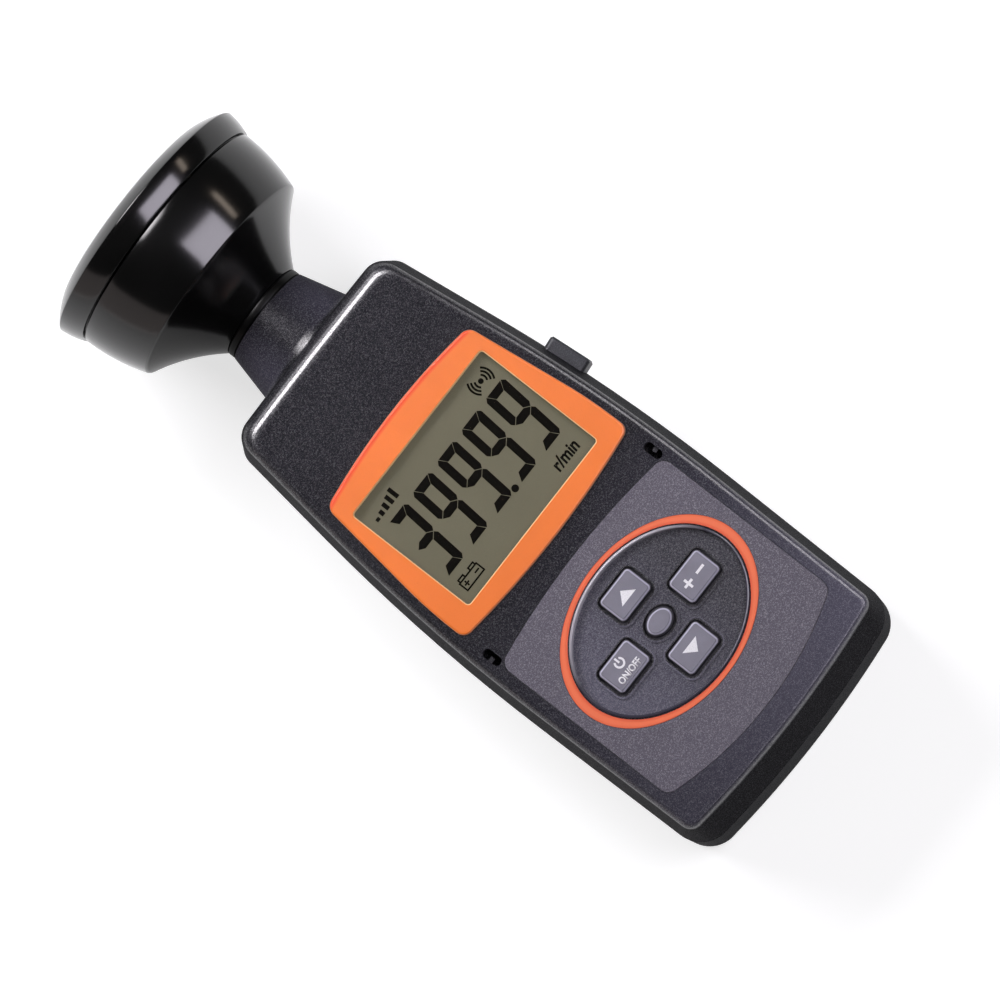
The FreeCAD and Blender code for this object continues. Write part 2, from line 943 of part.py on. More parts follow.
def case_post_holes():
    """Counterbore and shank hole of each case screw."""
    holes = []
    for x, y in case_screws:
        holes += mirrored(post(x, y, counterbore_radius, (-overrun, counterbore_depth)))
        shank_radius = case_screw_radius + screw_clearance * 2
        holes += mirrored(post(x, y, shank_radius, (counterbore_depth - overrun, axis_height + overrun)))
    return holes


def power_post_places():
    """Places of the power board's posts on the right side."""
    x = power_board_half_width - power_post_inset
    return [(x, power_head_y - power_post_inset), (x, power_butt_y + power_post_inset)]


def power_posts():
    """Posts that carry the power board."""
    posts = []
    for x, y in power_post_places():
        posts += mirrored(post(x, y, power_post_radius, (wall / 2, power_board_height)))
    return posts


def power_post_holes():
    """Blind holes in the power board's posts."""
    holes = []
    for x, y in power_post_places():
        reach = (power_board_height - power_screw_bite, power_board_height + overrun)
        holes += mirrored(post(x, y, board_screw_radius + screw_clearance, reach))
    return holes


def rear_cover():
    """Rear shell: neck half, battery bay, screw posts, and the way that the door slides in."""
    solid = with_rounded_neck_seam(rear_blank().fuse(neck_half((0, axis_height))))
    cavity = Part.makeLoft([rear_wire(wall, wall), rear_wire(axis_height, wall)], True, True)
    solid = solid.cut(cavity)
    solid = solid.cut(neck_bore())
    trim = Part.makeLoft([rear_wire(0, wall / 2), rear_wire(axis_height, wall / 2)], True, True)
    inner = fused([bay_block()] + case_posts() + power_posts()).common(trim)
    solid = solid.fuse(inner)
    lip = lip_ring(wall - lip_thickness, wall, lip_height).common(
        box_between(
            (-waist_half_width, waist_half_width),
            (butt_y, head_y - neck_root_depth),
            (axis_height - overrun, axis_height + lip_height),
        )
    )
    solid = solid.fuse(lip)
    notch = button_block(button_gap, (button_wall_x() - wall * 2, button_wall_x() + overrun))
    cuts = [bay_room(), door_block(door_gap, overrun), button_frame(notch)]
    cuts += case_post_holes() + power_post_holes()
    return solid.cut(fused(cuts)).removeSplitter()


def battery_door():
    """Battery door: a piece of the rear shell's skin that slides off past the butt, with grip ribs."""
    door = rear_blank().common(door_block(0, overrun))
    grooves = []
    for index in range(grip_rib_count):
        y = butt_y + grip_from_butt + index * grip_rib_pitch
        groove = box_between(
            (-grip_half_width, grip_half_width),
            (y, y + grip_rib_width),
            (-overrun, grip_rib_depth),
        )
        grooves.append(groove)
    return door.cut(fused(grooves))


def display_bezel():
    """Bezel: a waisted plate with a rounded rim, a bevelled window and a rebate for the pane."""
    plate = prism(rounded_wire(bezel_corners(0), bezel_floor), bezel_recess + bezel_stand)
    top = thickness + bezel_stand
    plate = plate.makeFillet(bezel_edge_radius, edges_at(plate, top))
    wide = window_corner_radius + bezel_window_bevel
    low = rounded_rectangle(
        0, display_y, window_width, window_height, window_corner_radius, top - bezel_window_bevel
    )
    high = rounded_rectangle(
        0,
        display_y,
        window_width + bezel_window_bevel * 2,
        window_height + bezel_window_bevel * 2,
        wide,
        top,
    )
    bevel = Part.makeLoft([low, high], True, True)
    hole = prism(
        rounded_rectangle(
            0, display_y, window_width, window_height, window_corner_radius, bezel_floor - overrun
        ),
        bezel_recess + bezel_stand + overrun,
    )
    rebate = prism(pane_wire(seat_gap, bezel_floor - overrun), pane_thickness + overrun)
    return plate.cut(fused([bevel, hole, rebate]))


def pane_wire(gap, height):
    """Outline of the clear pane, grown by a gap."""
    return rounded_rectangle(
        0,
        display_y,
        window_width + (pane_margin + gap) * 2,
        window_height + (pane_margin + gap) * 2,
        window_corner_radius + gap,
        height,
    )


def display_window():
    """Clear pane, trapped between the bezel and the front shell."""
    return prism(pane_wire(0, bezel_floor), pane_thickness)


def glass_wire(growth, height):
    """Outline of the liquid crystal glass, grown all round."""
    return rounded_rectangle(
        0,
        display_y,
        window_width + (glass_margin + growth) * 2,
        window_height + (glass_margin + growth) * 2,
        window_corner_radius + growth,
        height,
    )


def lcd_glass():
    """Liquid crystal glass: two sheets, the lower one longer, as a stepped plate."""
    step = glass_thickness / 2
    lower = prism(glass_wire(0, glass_bottom), step)
    upper = prism(glass_wire(-seat_gap * 2, glass_bottom + step), step)
    return lower.fuse(upper)


def lcd_holder():
    """Frame that stands on the main board and carries the glass on an inner lip."""
    outer = prism(glass_wire(holder_rim, board_top), ceiling - board_top)
    pocket = prism(glass_wire(seat_gap, glass_bottom), glass_thickness)
    base = board_top - overrun
    lip_opening = rounded_rectangle(
        0,
        display_y,
        window_width + (glass_margin - holder_lip) * 2,
        window_height + (glass_margin - holder_lip) * 2,
        window_corner_radius,
        base,
    )
    room = prism(lip_opening, ceiling - base + overrun)
    under = prism(glass_wire(seat_gap, base), glass_bottom - holder_lip_thickness - base)
    return outer.cut(fused([pocket, room, under]))


def contact_strips():
    """Two elastic strips that join the glass to the main board, one above and one below the picture."""
    half_span = window_width / 2 - strip_inset
    half_width = strip_width / 2
    strips = []
    for side in (-1, 1):
        y = display_y + side * (window_height / 2 + glass_margin - holder_lip - strip_width)
        y_range = (y - half_width, y + half_width)
        strips.append(box_between((-half_span, half_span), y_range, (board_top, glass_bottom)))
    return Part.makeCompound(strips)


def keypad_panel():
    """Thin overlay in its recess, with an oval opening for the ring."""
    plate = prism(rounded_wire(panel_corners(0), panel_floor), panel_depth)
    oval = ellipse_wire(0, keypad_y, ring_half_width + trim_gap, ring_half_height + trim_gap, panel_floor)
    return plate.cut(prism(oval, panel_depth))


def keypad_ring():
    """Coloured oval trim ring, wider at the sides than above and below."""
    height = panel_depth + trim_stand
    outer = ellipse_wire(0, keypad_y, ring_half_width, ring_half_height, panel_floor)
    inner = ellipse_wire(0, keypad_y, well_half_width, well_half_height, panel_floor)
    return ring_between(outer, inner, height)


def key_body(top_wires, flange_wire, x, y):
    """A key: bevelled cap, retaining flange under the ceiling, and the contact pill below."""
    cap = Part.makeLoft(top_wires, True, True)
    flange = prism(flange_wire, key_flange_thickness)
    pill = post(x, y, pill_radius, (pill_bottom, flange_bottom))
    return fused([cap, flange, pill])


def rectangular_key(name):
    """One of the four rectangular keys."""
    x, y = key_places()[name]
    wires = [
        key_wire(x, y, 0, flange_bottom),
        key_wire(x, y, 0, key_top - key_bevel),
        key_wire(x, y, -key_bevel, key_top),
    ]
    return key_body(wires, key_wire(x, y, key_flange, flange_bottom), x, y)


def centre_key():
    """The small oval key in the middle."""
    wires = [
        centre_key_wire(0, flange_bottom),
        centre_key_wire(0, key_top - centre_key_bevel),
        centre_key_wire(-centre_key_bevel, key_top),
    ]
    return key_body(wires, centre_key_wire(key_flange, flange_bottom), 0, keypad_y)


def keypad_mat():
    """Rubber mat on the main board, with a raised dome ring under each key round its contact pill."""
    outline = rounded_rectangle(
        0, keypad_y, mat_half_width * 2, mat_half_height * 2, mat_corner_radius, board_top
    )
    mat = prism(outline, mat_thickness)
    places = list(key_places().values()) + [(0, keypad_y)]
    dome_inner = pill_radius + dome_gap
    rings = []
    holes = []
    dome_top = board_top + mat_thickness + dome_height * dome_height_share
    for x, y in places:
        rings.append(
            Part.makeCone(
                dome_inner + dome_wall * 2,
                dome_inner + dome_wall,
                dome_top - board_top,
                V(x, y, board_top),
                UP,
            )
        )
        holes.append(post(x, y, dome_inner, (board_top - overrun, dome_top + overrun)))
    return mat.fuse(fused(rings)).cut(fused(holes))


def main_board():
    """Main circuit board under the display and the keypad."""
    centre_y = (board_head_y + board_butt_y) / 2
    outline = rounded_rectangle(
        0, centre_y, board_half_width * 2, board_head_y - board_butt_y, board_corner_radius, board_bottom
    )
    board = prism(outline, board_thickness)
    holes = []
    for x, y in board_screw_places():
        radius = board_screw_radius + screw_clearance * 2
        holes += mirrored(post(x, y, radius, (board_bottom - overrun, board_top + overrun)))
    for x, y in case_screws:
        reach = (board_bottom - overrun, board_top + overrun)
        holes += mirrored(post(x, y, case_boss_radius + boss_clearance, reach))
    return board.cut(fused(holes))


def small_screw(x, y, seat, direction):
    """A pan-head screw with its head on a seat, its shank running in a direction along Z."""
    reach = board_thickness + board_screw_bite
    shank_range = (seat, seat + direction * reach)
    head_range = (seat - direction * board_screw_head_height, seat)
    shank = post(x, y, board_screw_radius, (min(shank_range), max(shank_range)))
    head = post(x, y, board_screw_head_radius, (min(head_range), max(head_range)))
    return head.fuse(shank)


def main_board_screws():
    """Four screws that hold the main board up against the front shell."""
    screws = []
    for x, y in board_screw_places():
        screws += mirrored(small_screw(x, y, board_bottom, 1))
    return Part.makeCompound(screws)


def power_board():
    """Second circuit board, on posts in the rear shell, with the flash circuit."""
    centre_y = (power_head_y + power_butt_y) / 2
    outline = rounded_rectangle(
        0, centre_y, power_board_half_width * 2, power_board_length, board_corner_radius, power_board_height
    )
    board = prism(outline, board_thickness)
    holes = []
    for x, y in power_post_places():
        radius = board_screw_radius + screw_clearance * 2
        holes += mirrored(post(x, y, radius, (power_board_height - overrun, power_top + overrun)))
    return board.cut(fused(holes))


def power_board_screws():
    """Four screws that hold the power board down on its posts."""
    screws = []
    for x, y in power_post_places():
        screws += mirrored(small_screw(x, y, power_top, -1))
    return Part.makeCompound(screws)


def flash_capacitor():
    """Flash capacitor, lying on the power board, with a rounded can edge and a crimp groove."""
    start = power_butt_y + capacitor_from_end - capacitor_length / 2
    z = power_top + capacitor_radius
    can = rod(-capacitor_from_centre, z, capacitor_radius, (start, start + capacitor_length))
    ends = [edge for edge in can.Edges if edge.Closed]
    can = can.makeFillet(capacitor_edge_radius, ends)
    groove_y = start + capacitor_edge_radius * 3
    groove = Part.makeTorus(
        capacitor_radius + capacitor_edge_radius / 2,
        capacitor_edge_radius,
        V(-capacitor_from_centre, groove_y, z),
        ALONG_Y,
    )
    return can.cut(groove)


def inverter_transformer():
    """Step-up transformer: a ferrite pot between two plates, round a wound bobbin."""
    x = transformer_from_centre
    y = power_butt_y + transformer_from_end
    plates = []
    for base in (power_top, power_top + bobbin_height):
        plate = rounded_rectangle(x, y, core_length, core_width, board_corner_radius, base)
        plates.append(prism(plate, core_height / 2))
    bobbin = post(x, y, bobbin_radius, (power_top, power_top + bobbin_height))
    legs = []
    for side in (-1, 1):
        leg_x = x + side * (core_length - core_height / 2) / 2
        legs.append(
            box_between(
                (leg_x - core_height / 4, leg_x + core_height / 4),
                (y - core_width / 4, y + core_width / 4),
                (power_top, power_top + bobbin_height),
            )
        )
    return fused(plates + [bobbin] + legs)


def trigger_coil():
    """Trigger coil: a small bobbin that lies on the power board."""
    start = power_butt_y + coil_from_end - coil_length / 2
    z = power_top + coil_flange_radius
    x = -coil_from_centre
    winding = rod(x, z, coil_radius, (start, start + coil_length))
    flanges = []
    for y in (start, start + coil_length - coil_flange_thickness):
        flanges.append(rod(x, z, coil_flange_radius, (y, y + coil_flange_thickness)))
    return fused([winding] + flanges)


def lead_block_y():
    """Where the lamp leads come down on the power board."""
    return power_butt_y + lead_block_from_end


def lead_block():
    """Terminal block for the lamp leads."""
    y = lead_block_y()
    block = box_between(
        (-lead_block_width / 2, lead_block_width / 2),
        (y - lead_block_depth / 2, y + lead_block_depth / 2),
        (power_top, power_top + lead_block_height),
    )
    return block


def lamp_leads():
    """Three leads from the terminal block through the neck to the lamp socket."""
    leads = []
    y = lead_block_y()
    block_top = power_top + lead_block_height
    bend_z = axis_height - lead_bend_radius
    for index in (-1, 0, 1):
        x = index * lead_spacing
        rise = post(x, y, lead_radius, (block_top, bend_z))
        circle = Part.Wire([Part.Circle(V(x, y, bend_z), UP, lead_radius).toShape()])
        bend = Part.Face(circle).revolve(V(x, y + lead_bend_radius, bend_z), V(-1, 0, 0), 90)
        run = rod(x, axis_height, lead_radius, (y + lead_bend_radius, bell_floor - socket_tail_length))
        leads.append(fused([rise, bend, run]))
    return Part.makeCompound(leads)


def button_outer_x():
    """How far the side button stands out from the centre plane, before it is turned square to the wall."""
    return button_wall_x() + button_stand


def button_flange_x():
    """Outer face of the button's retaining flange."""
    return button_wall_x() - wall - button_flange_gap


def side_button():
    """Side button: a bevelled cap that stands out of the wall, with a retaining flange behind it."""
    flange_outer = button_flange_x()
    flange_inner = flange_outer - button_flange_thickness
    cap = button_block(0, (flange_inner, button_outer_x()))
    along = [edge for edge in cap.Edges if is_along_x(edge)]
    cap = cap.makeFillet(button_corner_radius, along)
    face = [edge for edge in cap.Edges if is_at_x(edge, button_outer_x())]
    cap = cap.makeChamfer(button_bevel, face)
    flange = button_block(button_flange, (flange_inner, flange_outer))
    return button_frame(cap.fuse(flange))


def is_along_x(edge):
    """Whether a straight edge runs along X."""
    near = overrun * near_share
    return edge.BoundBox.YLength < near and edge.BoundBox.ZLength < near


def is_at_x(edge, x):
    """Whether an edge lies wholly in one plane across X."""
    near = overrun * near_share
    return abs(edge.BoundBox.XMin - x) < near and abs(edge.BoundBox.XMax - x) < near


def switch_face_x():
    """The face of the switch that looks at the side button."""
    return button_flange_x() - button_flange_thickness - switch_gap


def plunger_length():
    """From the button's back to the bottom of its way into the switch, less its travel."""
    return switch_gap + plunger_depth - button_travel


def switch_plunger():
    """The switch's plunger, which follows the side button."""
    start = button_flange_x() - button_flange_thickness - plunger_length()
    pin = Part.makeCylinder(plunger_radius, plunger_length(), V(start, button_y, axis_height), ALONG_X)
    return button_frame(pin)


def side_switch():
    """Snap switch that hangs from the main board behind the side button."""
    face = switch_face_x()
    body = box_between(
        (face - switch_depth, face),
        (button_y - switch_width / 2, button_y + switch_width / 2),
        (axis_height - switch_below_axis, board_bottom),
    )
    hole = Part.makeCylinder(
        plunger_radius + plunger_clearance,
        plunger_depth + overrun,
        V(face - plunger_depth, button_y, axis_height),
        ALONG_X,
    )
    return button_frame(body.cut(hole))


def cell_x(index):
    """Distance of a cell's axis from the centre plane."""
    return (index - (cell_count - 1) / 2) * cell_pitch


def cell_points_to_head(index):
    """Whether a cell's nub points towards the lamp. Neighbours point opposite ways."""
    return index % 2 == 0


def battery_cell(index):
    """One round cell with its nub."""
    x = cell_x(index)
    if cell_points_to_head(index):
        body_start = bay_butt_y + contact_plate + leaf_rise
        nub_start = body_start + cell_body_length
    else:
        nub_start = bay_butt_y + contact_plate
        body_start = nub_start + cell_nub_length
    body = rod(x, cell_axis_height, cell_radius, (body_start, body_start + cell_body_length))
    body = body.makeFillet(cell_edge_radius, [edge for edge in body.Edges if edge.Closed])
    nub = rod(x, cell_axis_height, cell_nub_radius, (nub_start, nub_start + cell_nub_length))
    return body.fuse(nub)


def contact_plate_at(index, at_head):
    """A flat contact plate on one end wall of the bay."""
    x = cell_x(index)
    start = bay_head_y - contact_plate if at_head else bay_butt_y
    return box_between(
        (x - contact_width / 2, x + contact_width / 2),
        (start, start + contact_plate),
        (cell_axis_height - contact_height / 2, cell_axis_height + contact_height / 2),
    )


def leaf_at(index, at_head):
    """A bowed leaf that presses on the flat end of a cell."""
    x = cell_x(index)
    inward = -1 if at_head else 1
    base = bay_head_y - contact_plate if at_head else bay_butt_y + contact_plate
    low = V(x - leaf_width / 2, base, cell_axis_height - leaf_height / 2)
    high = V(x - leaf_width / 2, base, cell_axis_height + leaf_height / 2)
    crest = V(x - leaf_width / 2, base + inward * leaf_rise, cell_axis_height)
    dip = crest - V(0, inward * contact_plate, 0)
    shrink = V(0, 0, contact_plate * 2)
    outer = Part.Arc(low, crest, high).toShape()
    inner = Part.Arc(high - shrink, dip, low + shrink).toShape()
    upper = Part.LineSegment(high, high - shrink).toShape()
    lower = Part.LineSegment(low + shrink, low).toShape()
    return Part.Face(Part.Wire([outer, upper, inner, lower])).extrude(ALONG_X * leaf_width)


def spring_contacts():
    """Leaf contacts at the flat ends of the cells."""
    contacts = []
    for index in range(cell_count):
        at_head = not cell_points_to_head(index)
        contacts.append(contact_plate_at(index, at_head).fuse(leaf_at(index, at_head)))
    return Part.makeCompound(contacts)


def plate_contacts():
    """Flat contacts at the nubs of the cells."""
    return Part.makeCompound(
        [contact_plate_at(index, cell_points_to_head(index)) for index in range(cell_count)]
    )


def case_screw(x, y):
    """A pan-head screw from the back, with a cross recess."""
    head = post(x, y, case_screw_head_radius, (counterbore_depth - case_screw_head_height, counterbore_depth))
    shank = post(x, y, case_screw_radius, (counterbore_depth, axis_height + case_screw_bite))
    floor = counterbore_depth - case_screw_head_height
    arm = case_screw_head_radius * cross_reach_share
    half = cross_width / 2
    z_range = (floor - overrun, floor + cross_depth)
    cuts = [
        box_between((x - arm, x + arm), (y - half, y + half), z_range),
        box_between((x - half, x + half), (y - arm, y + arm), z_range),
    ]
    return head.fuse(shank).cut(fused(cuts))


def case_screw_group():
    """The four screws that hold the shells together."""
    screws = []
    for x, y in case_screws:
        screws += mirrored(case_screw(x, y))
    return Part.makeCompound(screws)


def lamp_collar():
    """Collar between the neck and the bell, with a groove beside the neck."""
    bore = spigot_radius + thread_clearance
    groove_radius = collar_radius - collar_groove_depth
    groove_end = neck_end + collar_groove_width
    return turned([
        (bore, neck_end),
        (groove_radius, neck_end),
        (groove_radius, groove_end),
        (collar_radius, groove_end),
        (collar_radius, collar_end - collar_bevel),
        (collar_radius - collar_bevel, collar_end),
        (bore, collar_end),
    ])


def lamp_bell():
    """Bell: a spigot held in the neck, a concave flare, a crowned band and a threaded mouth."""
    flange_front = collar_end - spigot_flange_from_collar
    flange_back = flange_front - spigot_flange_thickness
    spigot_back = collar_end - spigot_length
    flare_start = (flare_start_radius, collar_end)
    flare_stop = (flare_end_radius, flare_end)
    band_stop = (band_end_radius, band_end)
    inner_corner = (flare_end_radius - bell_wall, flare_end + bell_wall * inner_step_share)
    inner_floor = (bell_floor_radius, bell_floor)
    return turned([
        (lamp_bore_radius, spigot_back),
        (spigot_radius, spigot_back),
        (spigot_radius, flange_back),
        (spigot_flange_radius, flange_back),
        (spigot_flange_radius, flange_front),
        (spigot_radius, flange_front),
        (spigot_radius, collar_end),
        flare_start,
        (bulged(flare_start, flare_stop, flare_sag), flare_stop),
        (bulged(flare_stop, band_stop, -band_crown), band_stop),
        (thread_radius, band_end),
        (thread_radius, thread_end),
        (bell_mouth_radius, thread_end),
        (bell_mouth_radius, band_end),
        inner_corner,
        (bulged(inner_corner, inner_floor, -flare_sag), inner_floor),
        (lamp_bore_radius, bell_floor),
    ])


def front_ring():
    """Front ring: screwed over the bell's mouth, crowned outside, with a sloping nose and a lip for the lens."""
    bore = thread_radius + thread_clearance
    nose_start = (ring_front_radius, ring_front - ring_nose)
    nose_stop = (ring_face_radius, ring_front)
    back_stop = (ring_back_radius, ring_back)
    return turned([
        (bore, ring_back),
        back_stop,
        (bulged(back_stop, nose_start, -ring_crown), nose_start),
        (bulged(nose_start, nose_stop, -ring_crown), nose_stop),
        (ring_window_radius + ring_window_bevel, ring_front),
        (ring_window_radius, ring_front - ring_window_bevel),
        (ring_window_radius, lens_front),
        (bore, lens_front),
    ])


def lamp_lens():
    """Clear front lens."""
    return rod(0, axis_height, thread_radius, (seal_front, lens_front))


def lens_seal():
    """Flat seal between the reflector's rim and the lens."""
    outer = rod(0, axis_height, thread_radius, (rim_front, seal_front))
    return outer.cut(rod(0, axis_height, thread_radius - seal_width, (rim_front, seal_front)))


def bowl_curve(skin, along):
    """A parabola of the reflector in the (radius, y) plane, as a smooth curve. skin moves it outwards."""
    apex_y = thread_end - reflector_depth
    focal = reflector_mouth_radius ** 2 / (4 * reflector_depth)
    points = []
    for index in range(reflector_point_count):
        share = index / (reflector_point_count - 1)
        radius = apex_hole_radius + (reflector_mouth_radius - apex_hole_radius) * share
        y = apex_y + radius ** 2 / (4 * focal)
        points.append(V(radius + skin, y, axis_height))
    if not along:
        points.reverse()
    curve = Part.BSplineCurve()
    curve.interpolate(points)
    return curve.toShape(), points[0], points[-1]


def reflector():
    """Parabolic reflector with a flat rim that is trapped under the lens."""
    inner, inner_start, inner_stop = bowl_curve(0, True)
    outer, outer_start, outer_stop = bowl_curve(reflector_skin, False)
    rim_inner = V(reflector_mouth_radius, rim_front, axis_height)
    rim_outer = V(thread_radius, rim_front, axis_height)
    rim_back = V(thread_radius, thread_end, axis_height)
    corners = [inner_stop, rim_inner, rim_outer, rim_back, outer_start]
    edges = [inner]
    for start, stop in zip(corners, corners[1:]):
        edges.append(Part.LineSegment(start, stop).toShape())
    edges.append(outer)
    edges.append(Part.LineSegment(outer_stop, inner_start).toShape())
    return Part.Face(Part.Wire(edges)).revolve(V(0, 0, axis_height), ALONG_Y, 360)


def lamp_socket():
    """Insulating socket, seated in the bell, that carries the flash tube through the reflector's apex."""
    flange_front = bell_floor + socket_flange_thickness
    body = turned([
        (0, bell_floor - socket_tail_length),
        (socket_tail_radius, bell_floor - socket_tail_length),
        (socket_tail_radius, bell_floor),
        (socket_flange_radius, bell_floor),
        (socket_flange_radius, flange_front),
        (socket_nose_radius, flange_front),
        (socket_nose_radius, socket_front),
        (0, socket_front),
    ])
    holes = []
    for side in (-1, 1):
        x = side * tube_leg_spacing / 2
        depth = (socket_front - pin_hole_depth, socket_front + overrun)
        holes.append(rod(x, axis_height, tube_radius + cap_clearance, depth))
    return body.cut(fused(holes))


def flash_tube():
    """U-shaped xenon flash tube."""
    legs = []
    for side in (-1, 1):
        x = side * tube_leg_spacing / 2
        legs.append(rod(x, axis_height, tube_radius, (socket_front - pin_hole_depth, leg_end)))
    leg_top = V(tube_leg_spacing / 2, leg_end, axis_height)
    circle = Part.Wire([Part.Circle(leg_top, ALONG_Y, tube_radius).toShape()])
    bend = Part.Face(circle).revolve(V(0, leg_end, axis_height), UP, 180)
    return fused(legs + [bend])


def tube_caps():
    """Metal cap round the foot of each leg of the flash tube."""
    caps = []
    for side in (-1, 1):
        x = side * tube_leg_spacing / 2
        span = (socket_front, socket_front + cap_length)
        hole = rod(x, axis_height, tube_radius + cap_clearance, span)
        caps.append(rod(x, axis_height, cap_radius, span).cut(hole))
    return Part.makeCompound(caps)


def build_all():
    """Every sub-part by name."""
    parts = {
        "front_cover": front_cover(),
        "rear_cover": rear_cover(),
        "case_screws": case_screw_group(),
        "display_bezel": display_bezel(),
        "display_window": display_window(),
        "lcd_glass": lcd_glass(),
        "lcd_holder": lcd_holder(),
        "contact_strips": contact_strips(),
        "keypad_panel": keypad_panel(),
        "keypad_ring": keypad_ring(),
        "centre_key": centre_key(),
        "keypad_mat": keypad_mat(),
        "main_board": main_board(),
        "main_board_screws": main_board_screws(),
        "power_board": power_board(),
        "power_board_screws": power_board_screws(),
        "flash_capacitor": flash_capacitor(),
        "inverter_transformer": inverter_transformer(),
        "trigger_coil": trigger_coil(),
        "lead_block": lead_block(),
        "lamp_leads": lamp_leads(),
        "side_button": side_button(),
        "switch_plunger": switch_plunger(),
        "side_switch": side_switch(),
        "battery_door": battery_door(),
        "spring_contacts": spring_contacts(),
        "plate_contacts": plate_contacts(),
        "lamp_collar": lamp_collar(),
        "lamp_bell": lamp_bell(),
        "front_ring": front_ring(),
        "lamp_lens": lamp_lens(),
        "lens_seal": lens_seal(),
        "reflector": reflector(),
        "lamp_socket": lamp_socket(),
        "flash_tube": flash_tube(),
        "tube_caps": tube_caps(),
    }
    for name in key_places():
        parts[name] = rectangular_key(name)
    for index in range(cell_count):
        parts[f"battery_cell_{index + 1}"] = battery_cell(index)
    return parts


os.makedirs("parts", exist_ok=True)
for name, shape in build_all().items():
    shape.exportStep(f"parts/{name}.step")
    print(name, len(shape.Solids), "solids", round(shape.Volume, 1), "mm3", "valid", shape.isValid())
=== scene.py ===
import math

import bpy
from bpy.props import FloatProperty, FloatVectorProperty, IntProperty, PointerProperty
from mathutils import Matrix, Vector


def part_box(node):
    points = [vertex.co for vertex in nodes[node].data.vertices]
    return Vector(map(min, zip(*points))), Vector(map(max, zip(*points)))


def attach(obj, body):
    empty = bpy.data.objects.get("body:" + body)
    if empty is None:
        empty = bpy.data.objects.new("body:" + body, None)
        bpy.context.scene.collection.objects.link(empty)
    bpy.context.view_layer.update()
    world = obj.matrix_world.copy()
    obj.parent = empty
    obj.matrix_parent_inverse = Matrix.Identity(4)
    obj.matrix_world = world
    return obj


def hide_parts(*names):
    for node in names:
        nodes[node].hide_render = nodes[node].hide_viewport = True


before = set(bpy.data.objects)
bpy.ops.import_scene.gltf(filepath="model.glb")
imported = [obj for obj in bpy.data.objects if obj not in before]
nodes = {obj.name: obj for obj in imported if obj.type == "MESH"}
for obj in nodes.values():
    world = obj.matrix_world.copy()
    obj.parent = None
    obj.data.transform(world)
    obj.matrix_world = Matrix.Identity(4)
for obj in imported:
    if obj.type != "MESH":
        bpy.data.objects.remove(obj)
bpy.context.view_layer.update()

bl_info = {
    "name": "Handheld stroboscope",
    "version": (1, 0, 0),
    "blender": (4, 5, 0),
    "location": "3D View > Sidebar > Stroboscope",
    "description": "Finishes, prints and lamp head of a handheld stroboscope, and the studio it lies in",
    "category": "Object",
}

MM = 0.001


def middle(node):
    """The middle of a node's box, in metres."""
    low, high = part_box(node)
    return (low + high) / 2


def srgb(red, green, blue):
    """A colour that is written in 0 to 255, as the renderer's linear values."""
    return tuple(((c / 255 + 0.055) / 1.055) ** 2.4 if c > 10 else c / 255 / 12.92 for c in (red, green, blue))


lamp_axis = middle("lamp_bell")
glass_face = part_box("lcd_glass")[1].z
key_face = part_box("up_key")[1].z
bell_start, bell_stop = (corner.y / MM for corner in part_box("lamp_bell"))
ring_start, ring_stop = (corner.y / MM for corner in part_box("front_ring"))
collar_start, collar_stop = (corner.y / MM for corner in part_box("lamp_collar"))

# Half widths of the keypad's ovals, and how its keys lie round the middle one
WELL_HALF = (25.6 * MM, 19.5 * MM)
RING_HALF = (28.1 * MM, 20.75 * MM)
CENTRE_HOLE_HALF = (4.75 * MM, 3.75 * MM)
KEY_STEPS = ((13.6 * MM, 0), (0, 10.4 * MM))
KEY_STRAIGHT_HALF = (4.15 * MM, 2.6 * MM)
KEY_HOLE_CORNER = 2.4 * MM

# Heights of the shells' flat face and of the keypad's well, and where the neck leaves the shells
FACE = 37 * MM
WELL_FLOOR = 35.6 * MM
NECK = 76 * MM

# The bow of the bezel's lamp side, and the half sizes of its window
BEZEL_BOW_RADIUS = 184 * MM
BEZEL_WINDOW_HALF = (25.4 * MM, 19.1 * MM)


def colour(name, description, value):
    """A colour setting."""
    return FloatVectorProperty(
        name=name, description=description, default=value, subtype="COLOR", size=3, min=0, max=1
    )


def length(name, description, millimetres):
    """A length setting."""
    return FloatProperty(
        name=name, description=description, default=millimetres * MM, min=0, unit="LENGTH", precision=6
    )


class StroboscopeColours(bpy.types.PropertyGroup):
    """Colours of the finishes."""

    housing: colour("Housing", "Dark grey of the two shells, the neck and the battery door", srgb(26, 25, 31))
    panel: colour("Panel", "Lighter grey of the keypad panel", srgb(87, 82, 94))
    keys: colour("Keys", "Grey of the rubber keys", srgb(119, 117, 129))
    bezel: colour("Bezel", "Orange of the display's frame", srgb(241, 122, 42))
    ring: colour("Keypad ring", "Red-orange of the oval ring", srgb(239, 116, 74))
    lamp: colour("Lamp head", "Black of the lamp head", srgb(5, 5, 5))
    display: colour("Display", "Grey-green of the liquid crystal glass", srgb(110, 106, 86))
    digits: colour("Digits", "Dark segments of the display", srgb(11, 9, 5))
    ink: colour("Ink", "White signs on the keys", srgb(232, 230, 234))
    button: colour("Side button", "Grey of the side button", srgb(38, 39, 44))


class StroboscopeSizes(bpy.types.PropertyGroup):
    """Sizes that a user would change."""

    grain: length("Grain", "Width of one grain of the moulded texture", 0.38)
    grain_depth: length("Grain depth", "Depth of the moulded texture", 0.1)
    ink_height: length("Ink height", "How far a printed sign stands off its surface", 0.03)
    edge: length("Edge", "Rounding of the lamp head's edges", 0.18)
    segments: IntProperty(name="Facets", description="Facets round the lamp head", default=192, min=24)
    digit_height: length("Digit height", "Height of a numeral", 19.2)
    digit_width: length("Digit width", "Width of a numeral", 7.2)
    digit_pitch: length("Digit pitch", "Distance from numeral to numeral", 9.42)
    stroke: length("Stroke", "Thickness of a numeral's segments", 2.15)


